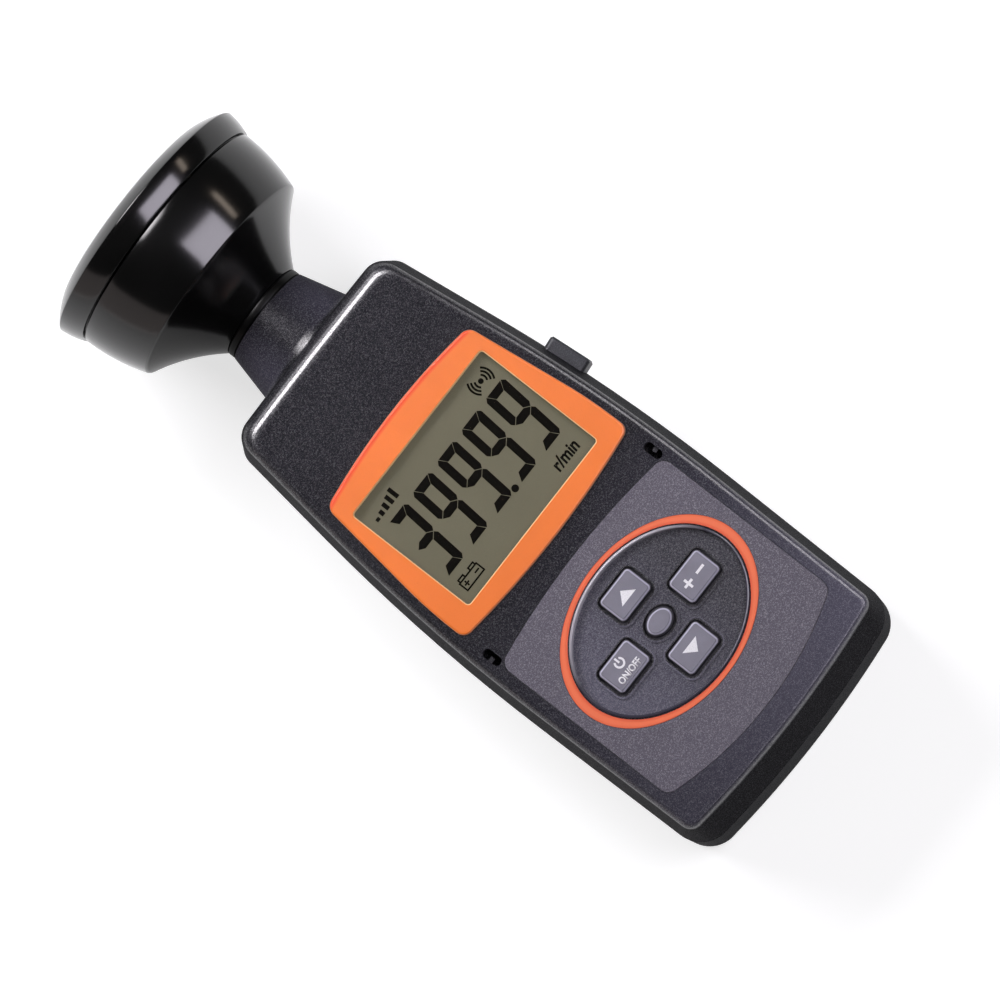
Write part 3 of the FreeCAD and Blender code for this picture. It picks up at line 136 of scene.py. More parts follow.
def colours():
    """The colour settings."""
    return bpy.context.scene.stroboscope_colours


def sizes():
    """The size settings."""
    return bpy.context.scene.stroboscope_sizes


# Finishes


class Value:
    """A number in a finish. Python's operators on it add Math nodes."""

    def __init__(self, finish, socket):
        self.finish = finish
        self.socket = socket

    def math(self, operation, *values):
        return self.finish.node("Math", {"operation": operation}, dict(enumerate(values)))

    def __add__(self, other):
        return self.math("ADD", self, other)

    def __sub__(self, other):
        return self.math("SUBTRACT", self, other)

    def __rsub__(self, other):
        return self.math("SUBTRACT", other, self)

    def __mul__(self, other):
        return self.math("MULTIPLY", self, other)

    def __abs__(self):
        return self.math("ABSOLUTE", self)

    def at_least(self, least):
        return self.math("MAXIMUM", self, least)

    def root(self):
        return self.math("SQRT", self)


class Finish:
    """The nodes of one material."""

    def __init__(self, name):
        self.material = bpy.data.materials.new(name)
        self.material.use_nodes = True
        self.tree = self.material.node_tree
        self.tree.nodes.clear()
        self.place = self.node("TexCoord", output="Object")

    def node(self, kind, settings=None, inputs=None, output=0):
        """Adds a node: its settings first, then the value or link of each socket."""
        made = self.tree.nodes.new("ShaderNode" + kind)
        for key, value in (settings or {}).items():
            setattr(made, key, value)
        for key, value in (inputs or {}).items():
            if isinstance(value, Value):
                self.tree.links.new(value.socket, made.inputs[key])
            elif isinstance(value, (tuple, list)) and len(value) == 3 and made.inputs[key].type == "RGBA":
                made.inputs[key].default_value = (*value, 1)
            else:
                made.inputs[key].default_value = value
        return Value(self, made.outputs[output]) if made.outputs else None

    def axes(self):
        """The place's X, Y and Z."""
        return [self.node("SeparateXYZ", None, {0: self.place}, axis) for axis in range(3)]

    def noise(self, width, detail=2.0, roughness=0.5, place=None):
        """Soft noise whose blots are about as wide as width, in metres, between 0 and 1."""
        inputs = {"Vector": place or self.place, "Scale": 1 / width, "Detail": detail, "Roughness": roughness}
        return self.node("TexNoise", {"normalize": True}, inputs)

    def cells(self, width):
        """Distance to the nearest of points that lie about width apart."""
        inputs = {"Vector": self.place, "Scale": 1 / width}
        return self.node("TexVoronoi", {"feature": "F1"}, inputs, "Distance")

    def between(self, value, low, high):
        """Moves value from the range low to high into 0 to 1."""
        inputs = {"Value": value, "From Min": low, "From Max": high}
        return self.node("MapRange", {"clamp": True}, inputs)

    def mix(self, factor, first, second):
        """A colour between two."""
        settings = {"data_type": "RGBA", "clamp_factor": True}
        return self.node("Mix", settings, {0: factor, 6: first, 7: second}, 2)

    def bump(self, height, depth, strength=1.0):
        """A normal from a height between 0 and 1, with its depth in metres."""
        return self.node("Bump", None, {"Height": height, "Distance": depth, "Strength": strength})

    def moulded(self, tone, grain, depth, dark, lift, roughness, gloss=None):
        """Grain over a tone: low spots carry painted shade and raised facets painted glints. Gloss weighs the satin
        skin over it.
        """
        fine = self.noise(grain, 3.0, 0.62)
        finer = self.noise(grain * 0.5, 2.0, 0.6)
        broad = self.noise(30 * MM, 2.0)
        grains = fine * 0.5 + finer * 0.5
        # Painted glints on the grain's raised facets, painted shade in its low spots
        facets = self.between(grains, 0.5, 0.64)
        low = self.node("MixRGB", {"blend_type": "MULTIPLY"}, {0: 1.0, 1: tone, 2: (dark, dark, dark)})
        high = self.node(
            "MixRGB", {"blend_type": "ADD", "use_clamp": False}, {0: 1.0, 1: tone, 2: (lift, lift, lift * 1.05)}
        )
        tone = self.mix(facets, low, high)
        tone = self.mix(self.between(broad, 0.3, 0.7) * 0.08, tone, srgb(80, 78, 84))
        rough = self.between(fine, 0.3, 0.7) * 0.14 + roughness
        inputs = {"Base_Color": tone, "Roughness": rough, "Normal": self.bump(fine * 0.65 + finer * 0.35, depth)}
        if gloss is None:
            return self.surface(IOR=1.3, **inputs)
        glints = self.between(grains, 0.4, 0.62) * 0.7 + 0.3
        return self.surface(IOR=1.04, Coat_Weight=gloss * glints, Coat_Roughness=0.29, Coat_IOR=1.75, **inputs)

    def surface(self, **inputs):
        """The shader itself."""
        names = {key.replace("_", " "): value for key, value in inputs.items()}
        shader = self.node("BsdfPrincipled", None, names)
        self.node("OutputMaterial", None, {"Surface": shader})
        return self.material


def shade(tint, factor):
    """A colour made darker or lighter."""
    return tuple(min(channel * factor, 1) for channel in tint)


def moulded_plastic(name, tint, grain, depth, dark=0.8, lift=0.03, roughness=0.42):
    """Textured moulded plastic: fine grain whose raised facets carry painted glints, slightly uneven in tone and
    gloss.
    """
    f = Finish(name)
    return f.moulded(tuple(tint), grain, depth, dark, lift, roughness)


def oval_reach(x, y, half):
    """How far out a place lies round the keypad's middle, squared: 1 is on the oval of these half widths."""
    u = x * (1 / half[0])
    v = (y - middle("centre_key").y) * (1 / half[1])
    return u * u + v * v


def well_shading(f, tone, tint):
    """The keypad's well: lighter, with painted light growing to the left, painted black shade in the gap round each
    key and inside the well's edge, and a painted highlight line on each key's lit rim.
    """
    x, y, z = f.axes()
    from_middle = y - middle("centre_key").y
    reach = oval_reach(x, y, WELL_HALF)
    below_face = f.between(z, FACE - 0.1 * MM, FACE - 0.5 * MM)
    above_floor = f.between(z, WELL_FLOOR - 1.0 * MM, WELL_FLOOR - 0.6 * MM)
    well = f.between(reach, 1.04, 1.0) * below_face * above_floor
    # Painted light: the well's floor lighter towards the left
    left = f.between(x, 14 * MM, -20 * MM)
    tone = f.mix(well, tone, f.mix(left, shade(tint, 2.3), shade(tint, 9.6)))
    # Painted shade: black round each key's hole and just inside the well's edge
    painted_gap_shade = f.between(oval_reach(x, y, CENTRE_HOLE_HALF), 1.06, 0.98) + f.between(reach, 0.955, 0.975)
    rim_highlight_lines = []
    for step_x, step_y in KEY_STEPS:
        over_x = (abs(abs(x) - step_x) - KEY_STRAIGHT_HALF[0]).at_least(0)
        over_y = (abs(abs(from_middle) - step_y) - KEY_STRAIGHT_HALF[1]).at_least(0)
        from_key = (over_x * over_x + over_y * over_y).root()
        from_hole = from_key - KEY_HOLE_CORNER
        painted_gap_shade = painted_gap_shade + f.between(from_hole, 0.02 * MM, -0.2 * MM)
        rim_highlight_lines.append(f.between(from_hole, 0, 0.12 * MM) * f.between(from_hole, 0.38 * MM, 0.22 * MM))
    # Painted highlight: a light line round the keys' holes on their lit side
    lit_side = f.between(x * 0.8 + from_middle, 6 * MM, -10 * MM)
    painted_rim_highlight = f.between(rim_highlight_lines[0] + rim_highlight_lines[1], 0, 1) * well * lit_side
    tone = f.mix(painted_rim_highlight * 0.6, tone, shade(tint, 16.0))
    return f.mix(f.between(painted_gap_shade, 0, 1) * well, tone, srgb(7, 7, 9))


def housing_plastic(name, tint, grain, depth):
    """Plastic of the shells: a painted sheen on the top towards the butt with painted light growing towards +X, a
    painted reflection on the neck's sides, painted shade on the walls, and a satin skin on the rounded edges.
    """
    f = Finish(name)
    tint = tuple(tint)
    x, y, z = f.axes()
    # Painted sheen: the top lighter towards the butt
    painted_grip_sheen = f.between(y, 0, -66 * MM) * f.between(z, FACE - 3 * MM, FACE - 0.7 * MM)
    # Painted light: lighter still towards +X
    light = f.between(x, -30 * MM, 30 * MM)
    tone = f.mix(painted_grip_sheen, tint, f.mix(light, shade(tint, 4.0), shade(tint, 8.8)))
    on_neck = f.between(y, NECK - 0.2 * MM, NECK + 0.6 * MM)
    # Painted reflection: the neck lighter towards its sides
    painted_neck_reflection = f.between(abs(x), 2 * MM, 11 * MM)
    tone = f.mix(on_neck, tone, f.mix(painted_neck_reflection, shade(tint, 0.7), shade(tint, 5.0)))
    # Painted shade: the walls below the face darker
    painted_wall_shade = f.between(z, FACE - 1.6 * MM, FACE - 2.6 * MM) * (1 - on_neck)
    tone = f.mix(painted_wall_shade * 0.6, tone, srgb(8, 8, 10))
    tone = well_shading(f, tone, tint)
    flat_top = f.between(z, FACE - 0.15 * MM, FACE - 0.03 * MM)
    skin = f.between(z, FACE - 2.8 * MM, FACE - 1.4 * MM) * (1 - flat_top * 0.85)
    fillet = f.between(y, NECK - 1 * MM, NECK - 0.2 * MM) * f.between(y, NECK + 1.4 * MM, NECK + 0.8 * MM)
    neck = f.between(y, NECK, NECK + 1 * MM)
    gloss = f.between(skin + fillet * 0.2 + neck * 0.03, 0, 1)
    return f.moulded(tone, grain, depth, 0.8, 0.066, 0.42, gloss)


def satin_plastic(name, tint, roughness=0.36, shaded=None):
    """Smooth coloured plastic with a faint orange-peel skin and small variations of its tone.

    A function may shade it further: it's given the finish and the tone, and gives back the tone.
    """
    f = Finish(name)
    tint = tuple(tint)
    skin = f.noise(0.55 * MM, 2.0)
    broad = f.noise(14 * MM, 3.0)
    speck = f.noise(0.22 * MM, 1.0)
    tone = f.mix(f.between(broad, 0.3, 0.7), shade(tint, 0.95), shade(tint, 1.03))
    tone = f.mix(f.between(speck, 0.62, 0.8) * 0.35, tone, shade(tint, 0.78))
    if shaded:
        tone = shaded(f, tone)
    rough = f.between(speck, 0.3, 0.7) * 0.1 + (roughness - 0.05)
    height = skin * 0.7 + speck * 0.3
    return f.surface(Base_Color=tone, Roughness=rough, Normal=f.bump(height, 0.02 * MM), IOR=1.4)


def bezel_edges(f, tone):
    """Painted shade as a redder band along the bezel's lamp side, and painted highlights, pale, on the rounded rim
    and on the bevel of the window.
    """
    low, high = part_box("display_bezel")
    x, y, z = f.axes()
    centre = middle("display_window")
    from_edge = high.y - x * x * (0.5 / BEZEL_BOW_RADIUS) - y
    # Painted shade: a redder band along the lamp side
    tone = f.mix(f.between(from_edge, 1.6 * MM, 0.9 * MM) * 0.85, tone, srgb(234, 62, 20))
    # Painted highlight: pale on the rounded rim
    rim = f.between(z, high.z - 0.16 * MM, high.z - 0.3 * MM)
    tone = f.mix(rim, tone, srgb(255, 176, 140))
    # Painted highlight: pale on the bevel of the window
    half_x, half_y = BEZEL_WINDOW_HALF
    beside = f.between(abs(x), half_x + 0.2 * MM, half_x)
    inside = beside * f.between(abs(y - centre.y), half_y + 0.2 * MM, half_y)
    bevel = f.between(z, high.z - 0.01 * MM, high.z - 0.05 * MM) * inside
    return f.mix(bevel, tone, srgb(255, 206, 150))


def ring_edges(f, tone):
    """Painted shade: darker red towards both edges of the keypad's ring."""
    x, y, _ = f.axes()
    inner = f.between(oval_reach(x, y, WELL_HALF), 1.07, 1.0)
    outer = f.between(oval_reach(x, y, RING_HALF), 0.95, 1.0)
    # Painted shade towards the ring's edges
    return f.mix(f.between(inner + outer * 0.6, 0, 1) * 0.75, tone, srgb(214, 70, 38))


def lip_edges(f, tone):
    """A painted highlight: lighter where the lip of the keypad's well would catch the light, on its lamp side."""
    from_middle = f.axes()[1] - middle("centre_key").y
    # Painted highlight on the lip's lamp side
    lit = f.between(from_middle, 5 * MM, 15 * MM)
    return f.mix(lit * 0.85, tone, srgb(176, 172, 180))


def key_rubber(name, tint):
    """Silicone rubber of the keys: matt, faintly dusty, with a soft fine grain, a painted highlight on their top
    edges and painted shade down their sides.
    """
    f = Finish(name)
    tint = tuple(tint)
    fine = f.noise(0.3 * MM, 3.0, 0.6)
    broad = f.noise(5 * MM, 2.0)
    dust = f.between(f.noise(0.16 * MM, 1.0), 0.62, 0.82)
    z = f.axes()[2]
    tone = f.mix(f.between(broad, 0.3, 0.7), shade(tint, 0.92), shade(tint, 1.06))
    # Painted highlight: lighter just below the key's top face, on its edge
    tone = f.mix(f.between(z, key_face - 0.04 * MM, key_face - 0.2 * MM), tone, shade(tint, 2.7))
    # Painted shade: much darker down the key's sides
    tone = f.mix(f.between(z, key_face - 0.42 * MM, key_face - 0.6 * MM), tone, shade(tint, 0.2))
    tone = f.mix(dust * 0.35, tone, shade(tint, 1.7))
    rough = f.between(fine, 0.3, 0.7) * 0.16 + 0.46
    return f.surface(Base_Color=tone, Roughness=rough, Normal=f.bump(fine, 0.03 * MM), IOR=1.35)


def gloss_black(name, tint, level=1.0, roughness=0.15):
    """Black plastic under clear lacquer, with faint orange peel and dust. The bell's waist has less lacquer below."""
    f = Finish(name)
    tint = tuple(tint)
    x, y, _ = f.axes()
    waist = f.between(y, (collar_stop + 12.8) * MM, (collar_stop + 12.2) * MM) * f.between(x, 6 * MM, -12 * MM)
    peel = f.noise(1.6 * MM, 1.0)
    smear = f.noise(9 * MM, 3.0)
    dust = f.between(f.cells(1.3 * MM), 0.0, 0.06)
    tone = f.mix(f.between(smear, 0.4, 0.8), tint, shade(tint, 1.6))
    tone = f.mix((1 - dust) * 0.1, tone, srgb(84, 80, 78))
    rough = f.between(smear, 0.35, 0.75) * 0.08 + 0.4
    return f.surface(
        Base_Color=tone,
        Roughness=rough,
        Normal=f.bump(peel, 0.006 * MM),
        IOR=1.04,
        Coat_Weight=(1 - waist * 0.6) * level,
        Coat_Roughness=roughness,
        Coat_IOR=1.45,
    )


def liquid_crystal(name, tint):
    """Glass over a grey-green reflector with fine speckle. A faint painted glow, though the display is no lamp, lifts
    the shade in its recess.
    """
    f = Finish(name)
    tint = tuple(tint)
    speckle = f.noise(0.12 * MM, 1.0)
    broad = f.noise(18 * MM, 1.0)
    tone = f.mix(f.between(broad, 0.3, 0.7), shade(tint, 0.96), shade(tint, 1.05))
    tone = f.mix(f.between(speckle, 0.35, 0.65) * 0.5, tone, shade(tint, 0.9))
    rough = f.between(speckle, 0.3, 0.7) * 0.08 + 0.5
    # The base is dimmed and the rest given as a painted glow, which softens the shade
    lit = f.node("MixRGB", {"blend_type": "MULTIPLY"}, {0: 1.0, 1: tone, 2: (0.6, 0.6, 0.6)})
    return f.surface(Base_Color=lit, Roughness=rough, IOR=1.2, Emission_Color=tone, Emission_Strength=0.385)


def ink(name, tint, roughness=0.4, index=1.5):
    """Printed ink with slightly uneven cover."""
    f = Finish(name)
    tint = tuple(tint)
    cover = f.noise(0.35 * MM, 2.0)
    tone = f.mix(f.between(cover, 0.25, 0.6), shade(tint, 0.82), tint)
    rough = f.between(cover, 0.3, 0.7) * 0.1 + roughness
    return f.surface(Base_Color=tone, Roughness=rough, Normal=f.bump(cover, 0.004 * MM), IOR=index)


def clear_pane(name, tint, alpha, roughness, index=1.49):
    """Thin clear plastic or glass: mostly let through, with gloss and a trace of dust."""
    f = Finish(name)
    dust = f.between(f.noise(0.5 * MM, 3.0), 0.6, 0.85)
    smear = f.noise(12 * MM, 3.0)
    rough = f.between(smear, 0.4, 0.8) * 0.08 + roughness
    return f.surface(Base_Color=tint, Roughness=rough, Alpha=dust * 0.05 + alpha, IOR=index)


def metal(name, tint, roughness, brushed=0.0):
    """Bare or plated metal, with a faint drawn or rolled grain and small stains."""
    f = Finish(name)
    tint = tuple(tint)
    stretched = f.node("Mapping", None, {"Vector": f.place, "Scale": (1, 0.08, 1)})
    grain = f.noise(0.18 * MM, 2.0, 0.5, stretched)
    stain = f.noise(2.4 * MM, 3.0)
    tone = f.mix(f.between(stain, 0.35, 0.75), tint, shade(tint, 0.8))
    rough = f.between(grain, 0.3, 0.7) * 0.16 + f.between(stain, 0.4, 0.8) * 0.08 + roughness
    normal = f.bump(grain, (0.002 + 0.006 * brushed) * MM)
    return f.surface(Base_Color=tone, Roughness=rough, Metallic=1.0, Normal=normal)


def mirror_bowl(name):
    """Vacuum-coated bowl with a fine pebble that softens its mirror."""
    f = Finish(name)
    pebble = f.cells(1.1 * MM)
    haze = f.noise(6 * MM, 2.0)
    tone = f.mix(f.between(haze, 0.35, 0.7), srgb(226, 228, 232), srgb(205, 208, 214))
    rough = f.between(haze, 0.3, 0.7) * 0.08 + 0.08
    return f.surface(Base_Color=tone, Roughness=rough, Metallic=1.0, Normal=f.bump(pebble, 0.03 * MM))


def circuit_board(name):
    """Green solder mask over copper runs, with tinned pads in a grid."""
    f = Finish(name)
    runs = f.cells(3.2 * MM)
    weave = f.noise(0.6 * MM, 2.0)
    copper = f.between(runs, 0.34, 0.37)
    tone = f.mix(copper, srgb(24, 92, 48), srgb(15, 66, 35))
    tone = f.mix(f.between(runs, 0.0, 0.09), srgb(196, 196, 190), tone)
    tone = f.mix(f.between(weave, 0.4, 0.7) * 0.25, tone, srgb(34, 104, 60))
    rough = copper * 0.08 + 0.26
    return f.surface(Base_Color=tone, Roughness=rough, Normal=f.bump(1 - copper, 0.03 * MM))


def wound_wire(name):
    """Lacquered copper wire in close turns along Y."""
    f = Finish(name)
    along = f.axes()[1]
    turns = along.math("PINGPONG", along, 0.16 * MM) * (1 / (0.16 * MM))
    tone = f.mix(turns, srgb(92, 44, 16), srgb(196, 112, 52))
    rough = f.noise(1.2 * MM, 2.0) * 0.15 + 0.25
    return f.surface(Base_Color=tone, Roughness=rough, Normal=f.bump(turns, 0.08 * MM))


def sleeved_cell(name):
    """Battery sleeve: dark film with a wide copper-coloured band, and bare steel ends."""
    f = Finish(name)
    along = f.axes()[1]
    low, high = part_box("battery_cell_1")
    scuff = f.noise(1.4 * MM, 3.0)
    band = f.between(along, low.y + 33 * MM, low.y + 33.2 * MM)
    ends = 1 - f.between(along, low.y + 2.2 * MM, low.y + 2.3 * MM) * f.between(
        along, high.y - 2.2 * MM, high.y - 2.3 * MM
    )
    tone = f.mix(band, srgb(36, 36, 40), srgb(188, 122, 74))
    tone = f.mix(f.between(scuff, 0.6, 0.75) * 0.3, tone, srgb(120, 118, 116))
    tone = f.mix(ends, tone, srgb(196, 196, 198))
    rough = f.between(scuff, 0.3, 0.7) * 0.12 + 0.24
    return f.surface(Base_Color=tone, Roughness=rough, Metallic=ends, Normal=f.bump(scuff, 0.004 * MM))


def paint(names, material):
    """Gives CAD nodes one material."""
    for name in names:
        mesh = nodes[name].data
        mesh.materials.clear()
        mesh.materials.append(material)


# Modelling


def deselect():
    """Leaves object mode's selection empty."""
    if bpy.context.object and bpy.context.object.mode != "OBJECT":
        bpy.ops.object.mode_set(mode="OBJECT")
    bpy.ops.object.select_all(action="DESELECT")


def active(obj):
    """Makes one object the only selected one."""
    deselect()
    obj.select_set(True)
    bpy.context.view_layer.objects.active = obj


def settle(obj):
    """Moves an object's place into its mesh."""
    active(obj)
    bpy.ops.object.transform_apply(location=True, rotation=True, scale=True)
    return obj


def join(name, pieces):
    """Joins pieces into one mesh."""
    for piece in pieces:
        settle(piece)
    active(pieces[0])
    for piece in pieces:
        piece.select_set(True)
    if len(pieces) > 1:
        bpy.ops.object.join()
    joined = bpy.context.object
    joined.name = name
    joined.data.name = name
    return joined


def ride(obj, body, slot, material, *replaced):
    """Sets a finished piece on its body with its material. The slot is not used."""
    settle(obj)
    obj.data.materials.clear()
    obj.data.materials.append(material)
    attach(obj, body)
    if replaced:
        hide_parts(*replaced)
    return obj


def round_edges(obj, width, segments, sharp, smooth):
    """Bevels edges sharper than one angle and shades those flatter than the other smoothly, in degrees."""
    bevel = obj.modifiers.new("edge", "BEVEL")
    bevel.width = width
    bevel.segments = segments
    bevel.limit_method = "ANGLE"
    bevel.angle_limit = math.radians(sharp)
    active(obj)
    bpy.ops.object.modifier_apply(modifier=bevel.name)
    bpy.ops.object.shade_smooth_by_angle(angle=math.radians(smooth))
    return obj


def thicken(obj, rise):
    """Gives a flat mesh its thickness, with its faces outward."""
    active(obj)
    bpy.ops.object.mode_set(mode="EDIT")
    bpy.ops.mesh.select_all(action="SELECT")
    bpy.ops.mesh.extrude_region_move(TRANSFORM_OT_translate={"value": (0, 0, rise)})
    bpy.ops.mesh.select_all(action="SELECT")
    bpy.ops.mesh.normals_make_consistent(inside=False)
    bpy.ops.object.mode_set(mode="OBJECT")
    return obj


def turned(name, stations, edge):
    """A piece turned about the lamp axis: a circle extruded and resized from station to station, in millimetres."""
    deselect()
    radius, y = stations[0]
    bpy.ops.mesh.primitive_circle_add(
        vertices=sizes().segments,
        radius=radius * MM,
        location=(lamp_axis.x, y * MM, lamp_axis.z),
        rotation=(math.pi / 2, 0, 0),
    )
    obj = settle(bpy.context.object)
    obj.name = name
    bpy.ops.object.mode_set(mode="EDIT")
    bpy.ops.mesh.select_all(action="SELECT")
    for (radius, y), (next_radius, next_y) in zip(stations, stations[1:]):
        bpy.ops.mesh.extrude_region_move(TRANSFORM_OT_translate={"value": (0, (next_y - y) * MM, 0)})
        grow = next_radius / radius
        centre = (lamp_axis.x, next_y * MM, lamp_axis.z)
        bpy.ops.transform.resize(value=(grow, 1, grow), center_override=centre)
    bpy.ops.mesh.select_all(action="SELECT")
    bpy.ops.mesh.remove_doubles(threshold=0.001 * MM)
    bpy.ops.mesh.normals_make_consistent(inside=False)
    bpy.ops.object.mode_set(mode="OBJECT")
    return round_edges(obj, edge, 3, 24, 32)


def oval(name, centre, stations, shift, edge):
    """An upright oval piece: a circle extruded and resized from station to station, then drawn into an oval.

    Each station is a half width and a height in millimetres; the half height is the half width less the shift.
    """
    deselect()
    half, z = stations[0]
    bpy.ops.mesh.primitive_circle_add(
        vertices=sizes().segments, radius=half * MM, location=(centre.x, centre.y, z * MM)
    )
    obj = settle(bpy.context.object)
    obj.name = name
    bpy.ops.object.mode_set(mode="EDIT")
    bpy.ops.mesh.select_all(action="SELECT")
    squash = (half - shift) / half
    middle_point = (centre.x, centre.y, z * MM)
    bpy.ops.transform.resize(value=(1, squash, 1), center_override=middle_point)
    for (half, z), (next_half, next_z) in zip(stations, stations[1:]):
        bpy.ops.mesh.extrude_region_move(TRANSFORM_OT_translate={"value": (0, 0, (next_z - z) * MM)})
        grow = (next_half / half, (next_half - shift) / (half - shift), 1)
        bpy.ops.transform.resize(value=grow, center_override=(centre.x, centre.y, next_z * MM))
    bpy.ops.mesh.select_all(action="SELECT")
    bpy.ops.mesh.remove_doubles(threshold=0.001 * MM)
    bpy.ops.mesh.normals_make_consistent(inside=False)
    bpy.ops.object.mode_set(mode="OBJECT")
    return round_edges(obj, edge, 2, 30, 50)


def arc(start, stop, sag, count):
    """Stations on an arc between two, which sags from its chord."""
    run_r = stop[0] - start[0]
    run_y = stop[1] - start[1]
    found = []
    for index in range(count + 1):
        share = index / count
        bow = 4 * share * (1 - share) * sag / math.hypot(run_r, run_y)
        found.append((start[0] + run_r * share - bow * run_y, start[1] + run_y * share + bow * run_r))
    return found


def flat_box(x, y, width, height, rise):
    """A thin plate, centred at x and y on the plane z = 0."""
    deselect()
    bpy.ops.mesh.primitive_plane_add(size=1, location=(x, y, 0))
    obj = bpy.context.object
    obj.scale = (width, height, 1)
    return thicken(settle(obj), rise)


def flat_polygon(x, y, radius, sides, turn, rise):
    """A thin regular polygon or disc."""
    deselect()
    bpy.ops.mesh.primitive_circle_add(
        vertices=sides, radius=radius, fill_type="NGON", location=(x, y, 0), rotation=(0, 0, turn)
    )
    return thicken(settle(bpy.context.object), rise)


def flat_arc(x, y, radius, width, start, stop, rise, steps=24):
    """A thin band along an arc: one side of a square, spun round a centre, then raised."""
    deselect()
    bpy.ops.mesh.primitive_plane_add(size=1, location=(0, 0, 0))
    obj = bpy.context.object
    mesh = obj.data
    for parts in (mesh.polygons, mesh.edges):
        for part in parts:
            part.select = False
    for vertex in mesh.vertices:
        vertex.select = vertex.co.y > 0
    bpy.ops.object.mode_set(mode="EDIT")
    bpy.ops.mesh.delete(type="VERT")
    bpy.ops.object.mode_set(mode="OBJECT")
    across = Matrix.Translation((radius, 0.5, 0)) @ Matrix.Diagonal((width, 1, 1, 1))
    mesh.transform(Matrix.Rotation(start, 4, "Z") @ across)
    bpy.ops.object.mode_set(mode="EDIT")
    bpy.ops.mesh.select_all(action="SELECT")
    bpy.ops.mesh.spin(steps=steps, angle=start - stop, center=(0, 0, 0), axis=(0, 0, 1))
    bpy.ops.object.mode_set(mode="OBJECT")
    thicken(obj, rise)
    obj.location = (x, y, 0)
    return settle(obj)


def flat_words(text, x, y, height, width, rise, slant=0.0):
    """Generic lettering as thin raised print, centred at x and y."""
    deselect()
    bpy.ops.object.text_add(location=(0, 0, 0))
    obj = bpy.context.object
    obj.data.body = text
    obj.data.align_x = "CENTER"
    obj.data.align_y = "CENTER"
    obj.data.offset = 0.03
    obj.data.shear = slant
    bpy.ops.object.convert(target="MESH")
    obj = bpy.context.object
    corners = [Vector(corner) for corner in obj.bound_box]
    low = Vector([min(corner[axis] for corner in corners) for axis in range(3)])
    high = Vector([max(corner[axis] for corner in corners) for axis in range(3)])
    grow = Matrix.Diagonal((width / (high.x - low.x), height / (high.y - low.y), 1, 1))
    obj.data.transform(Matrix.Translation((x, y, 0)) @ grow @ Matrix.Translation(-(low + high) / 2))
    active(obj)
    bpy.ops.object.mode_set(mode="EDIT")
    bpy.ops.mesh.select_all(action="SELECT")
    bpy.ops.mesh.remove_doubles(threshold=0.002 * MM)
    bpy.ops.object.mode_set(mode="OBJECT")
    return thicken(obj, rise)


def cut_corner(point, normal):
    """Cuts everything beyond a plane off the mesh in edit mode and closes the cut."""
    bpy.ops.mesh.select_all(action="SELECT")
    bpy.ops.mesh.bisect(
        plane_co=(*point, 0), plane_no=(*normal, 0), use_fill=True, clear_outer=True, threshold=0.0001 * MM
    )


ENDS = {
    "cap": ((0.0, (0.864, -0.502)),),
    "corner": ((0.4, (0.535, -0.845)), (0.37, (0.664, 0.747))),
    "middle": ((0.3, (0.797, -0.604)), (0.3, (0.585, 0.811))),
    "point": ((0.5, (0.6, 0.8)), (0.5, (0.6, -0.8))),
}


def numeral_segment(run, stroke, ends):
    """One segment of a numeral along X, with the numeral's outside above it. Its ends are cut by their kinds.

    A cut is where it starts, as a share of the stroke below the outer edge, and the way it faces.
    """
    obj = flat_box(0, 0, run, stroke, sizes().ink_height)
    bpy.ops.object.mode_set(mode="EDIT")
    for side, kind in zip((-1, 1), ends):
        for share, (out, up) in ENDS[kind]:
            cut_corner((side * run / 2, stroke * (0.5 - share)), (side * out, up))
    bpy.ops.mesh.select_all(action="SELECT")
    bpy.ops.mesh.normals_make_consistent(inside=False)
    bpy.ops.object.mode_set(mode="OBJECT")
    return obj


SEGMENTS = {"3": "abgcd", "9": "abcdfg"}
LEAN = math.radians(4.3)


def numeral(sign, x, y):
    """A slanted seven-segment numeral, centred at x and y."""
    s = sizes()
    width, height, stroke = s.digit_width, s.digit_height, s.stroke
    gap = 0.1 * MM
    side_x = width / 2 - stroke / 2
    side_y = (height / 2 + gap) / 2
    side = height / 2 - gap
    across = width - stroke * 0.98
    places = {
        "a": (0, height / 2 - stroke / 2, 0, across, ("cap", "cap")),
        "d": (0, -height / 2 + stroke / 2, math.pi, across, ("cap", "cap")),
        "g": (0, 0, 0, width - stroke * 0.72, ("point", "point")),
        "f": (-side_x, side_y, math.pi / 2, side, ("middle", "corner")),
        "b": (side_x, side_y, -math.pi / 2, side, ("corner", "middle")),
        "c": (side_x, -side_y, -math.pi / 2, side, ("middle", "corner")),
    }
    made = []
    for name in SEGMENTS[sign]:
        px, py, turn, run, ends = places[name]
        piece = numeral_segment(run, stroke, ends)
        piece.data.transform(Matrix.Translation((px, py, 0)) @ Matrix.Rotation(turn, 4, "Z"))
        made.append(piece)
    digit = join("numeral", made)
    lean = Matrix.Identity(4)
    lean[0][1] = math.tan(LEAN)
    digit.data.transform(Matrix.Translation((x, y, 0)) @ lean)
    return digit


def rising_bars(left, foot, rise):
    """Five bars, each taller than the last."""
    step, width = 1.8 * MM, 1.1 * MM
    bars = []
    for index in range(5):
        tall = (0.9 + index * 0.55) * MM
        bars.append(flat_box(left + index * step, foot + tall / 2, width, tall, rise))
    return bars


def wave_sign(x, y, rise):
    """A dot with three arcs on either side."""
    line = 0.52 * MM
    half = math.radians(42)
    signs = [flat_polygon(x, y, 0.7 * MM, 20, 0, rise)]
    for side in (0, math.pi):
        for radius in (1.5, 2.4, 3.25):
            signs.append(flat_arc(x, y, radius * MM, line, side - half, side + half, rise))
    return signs


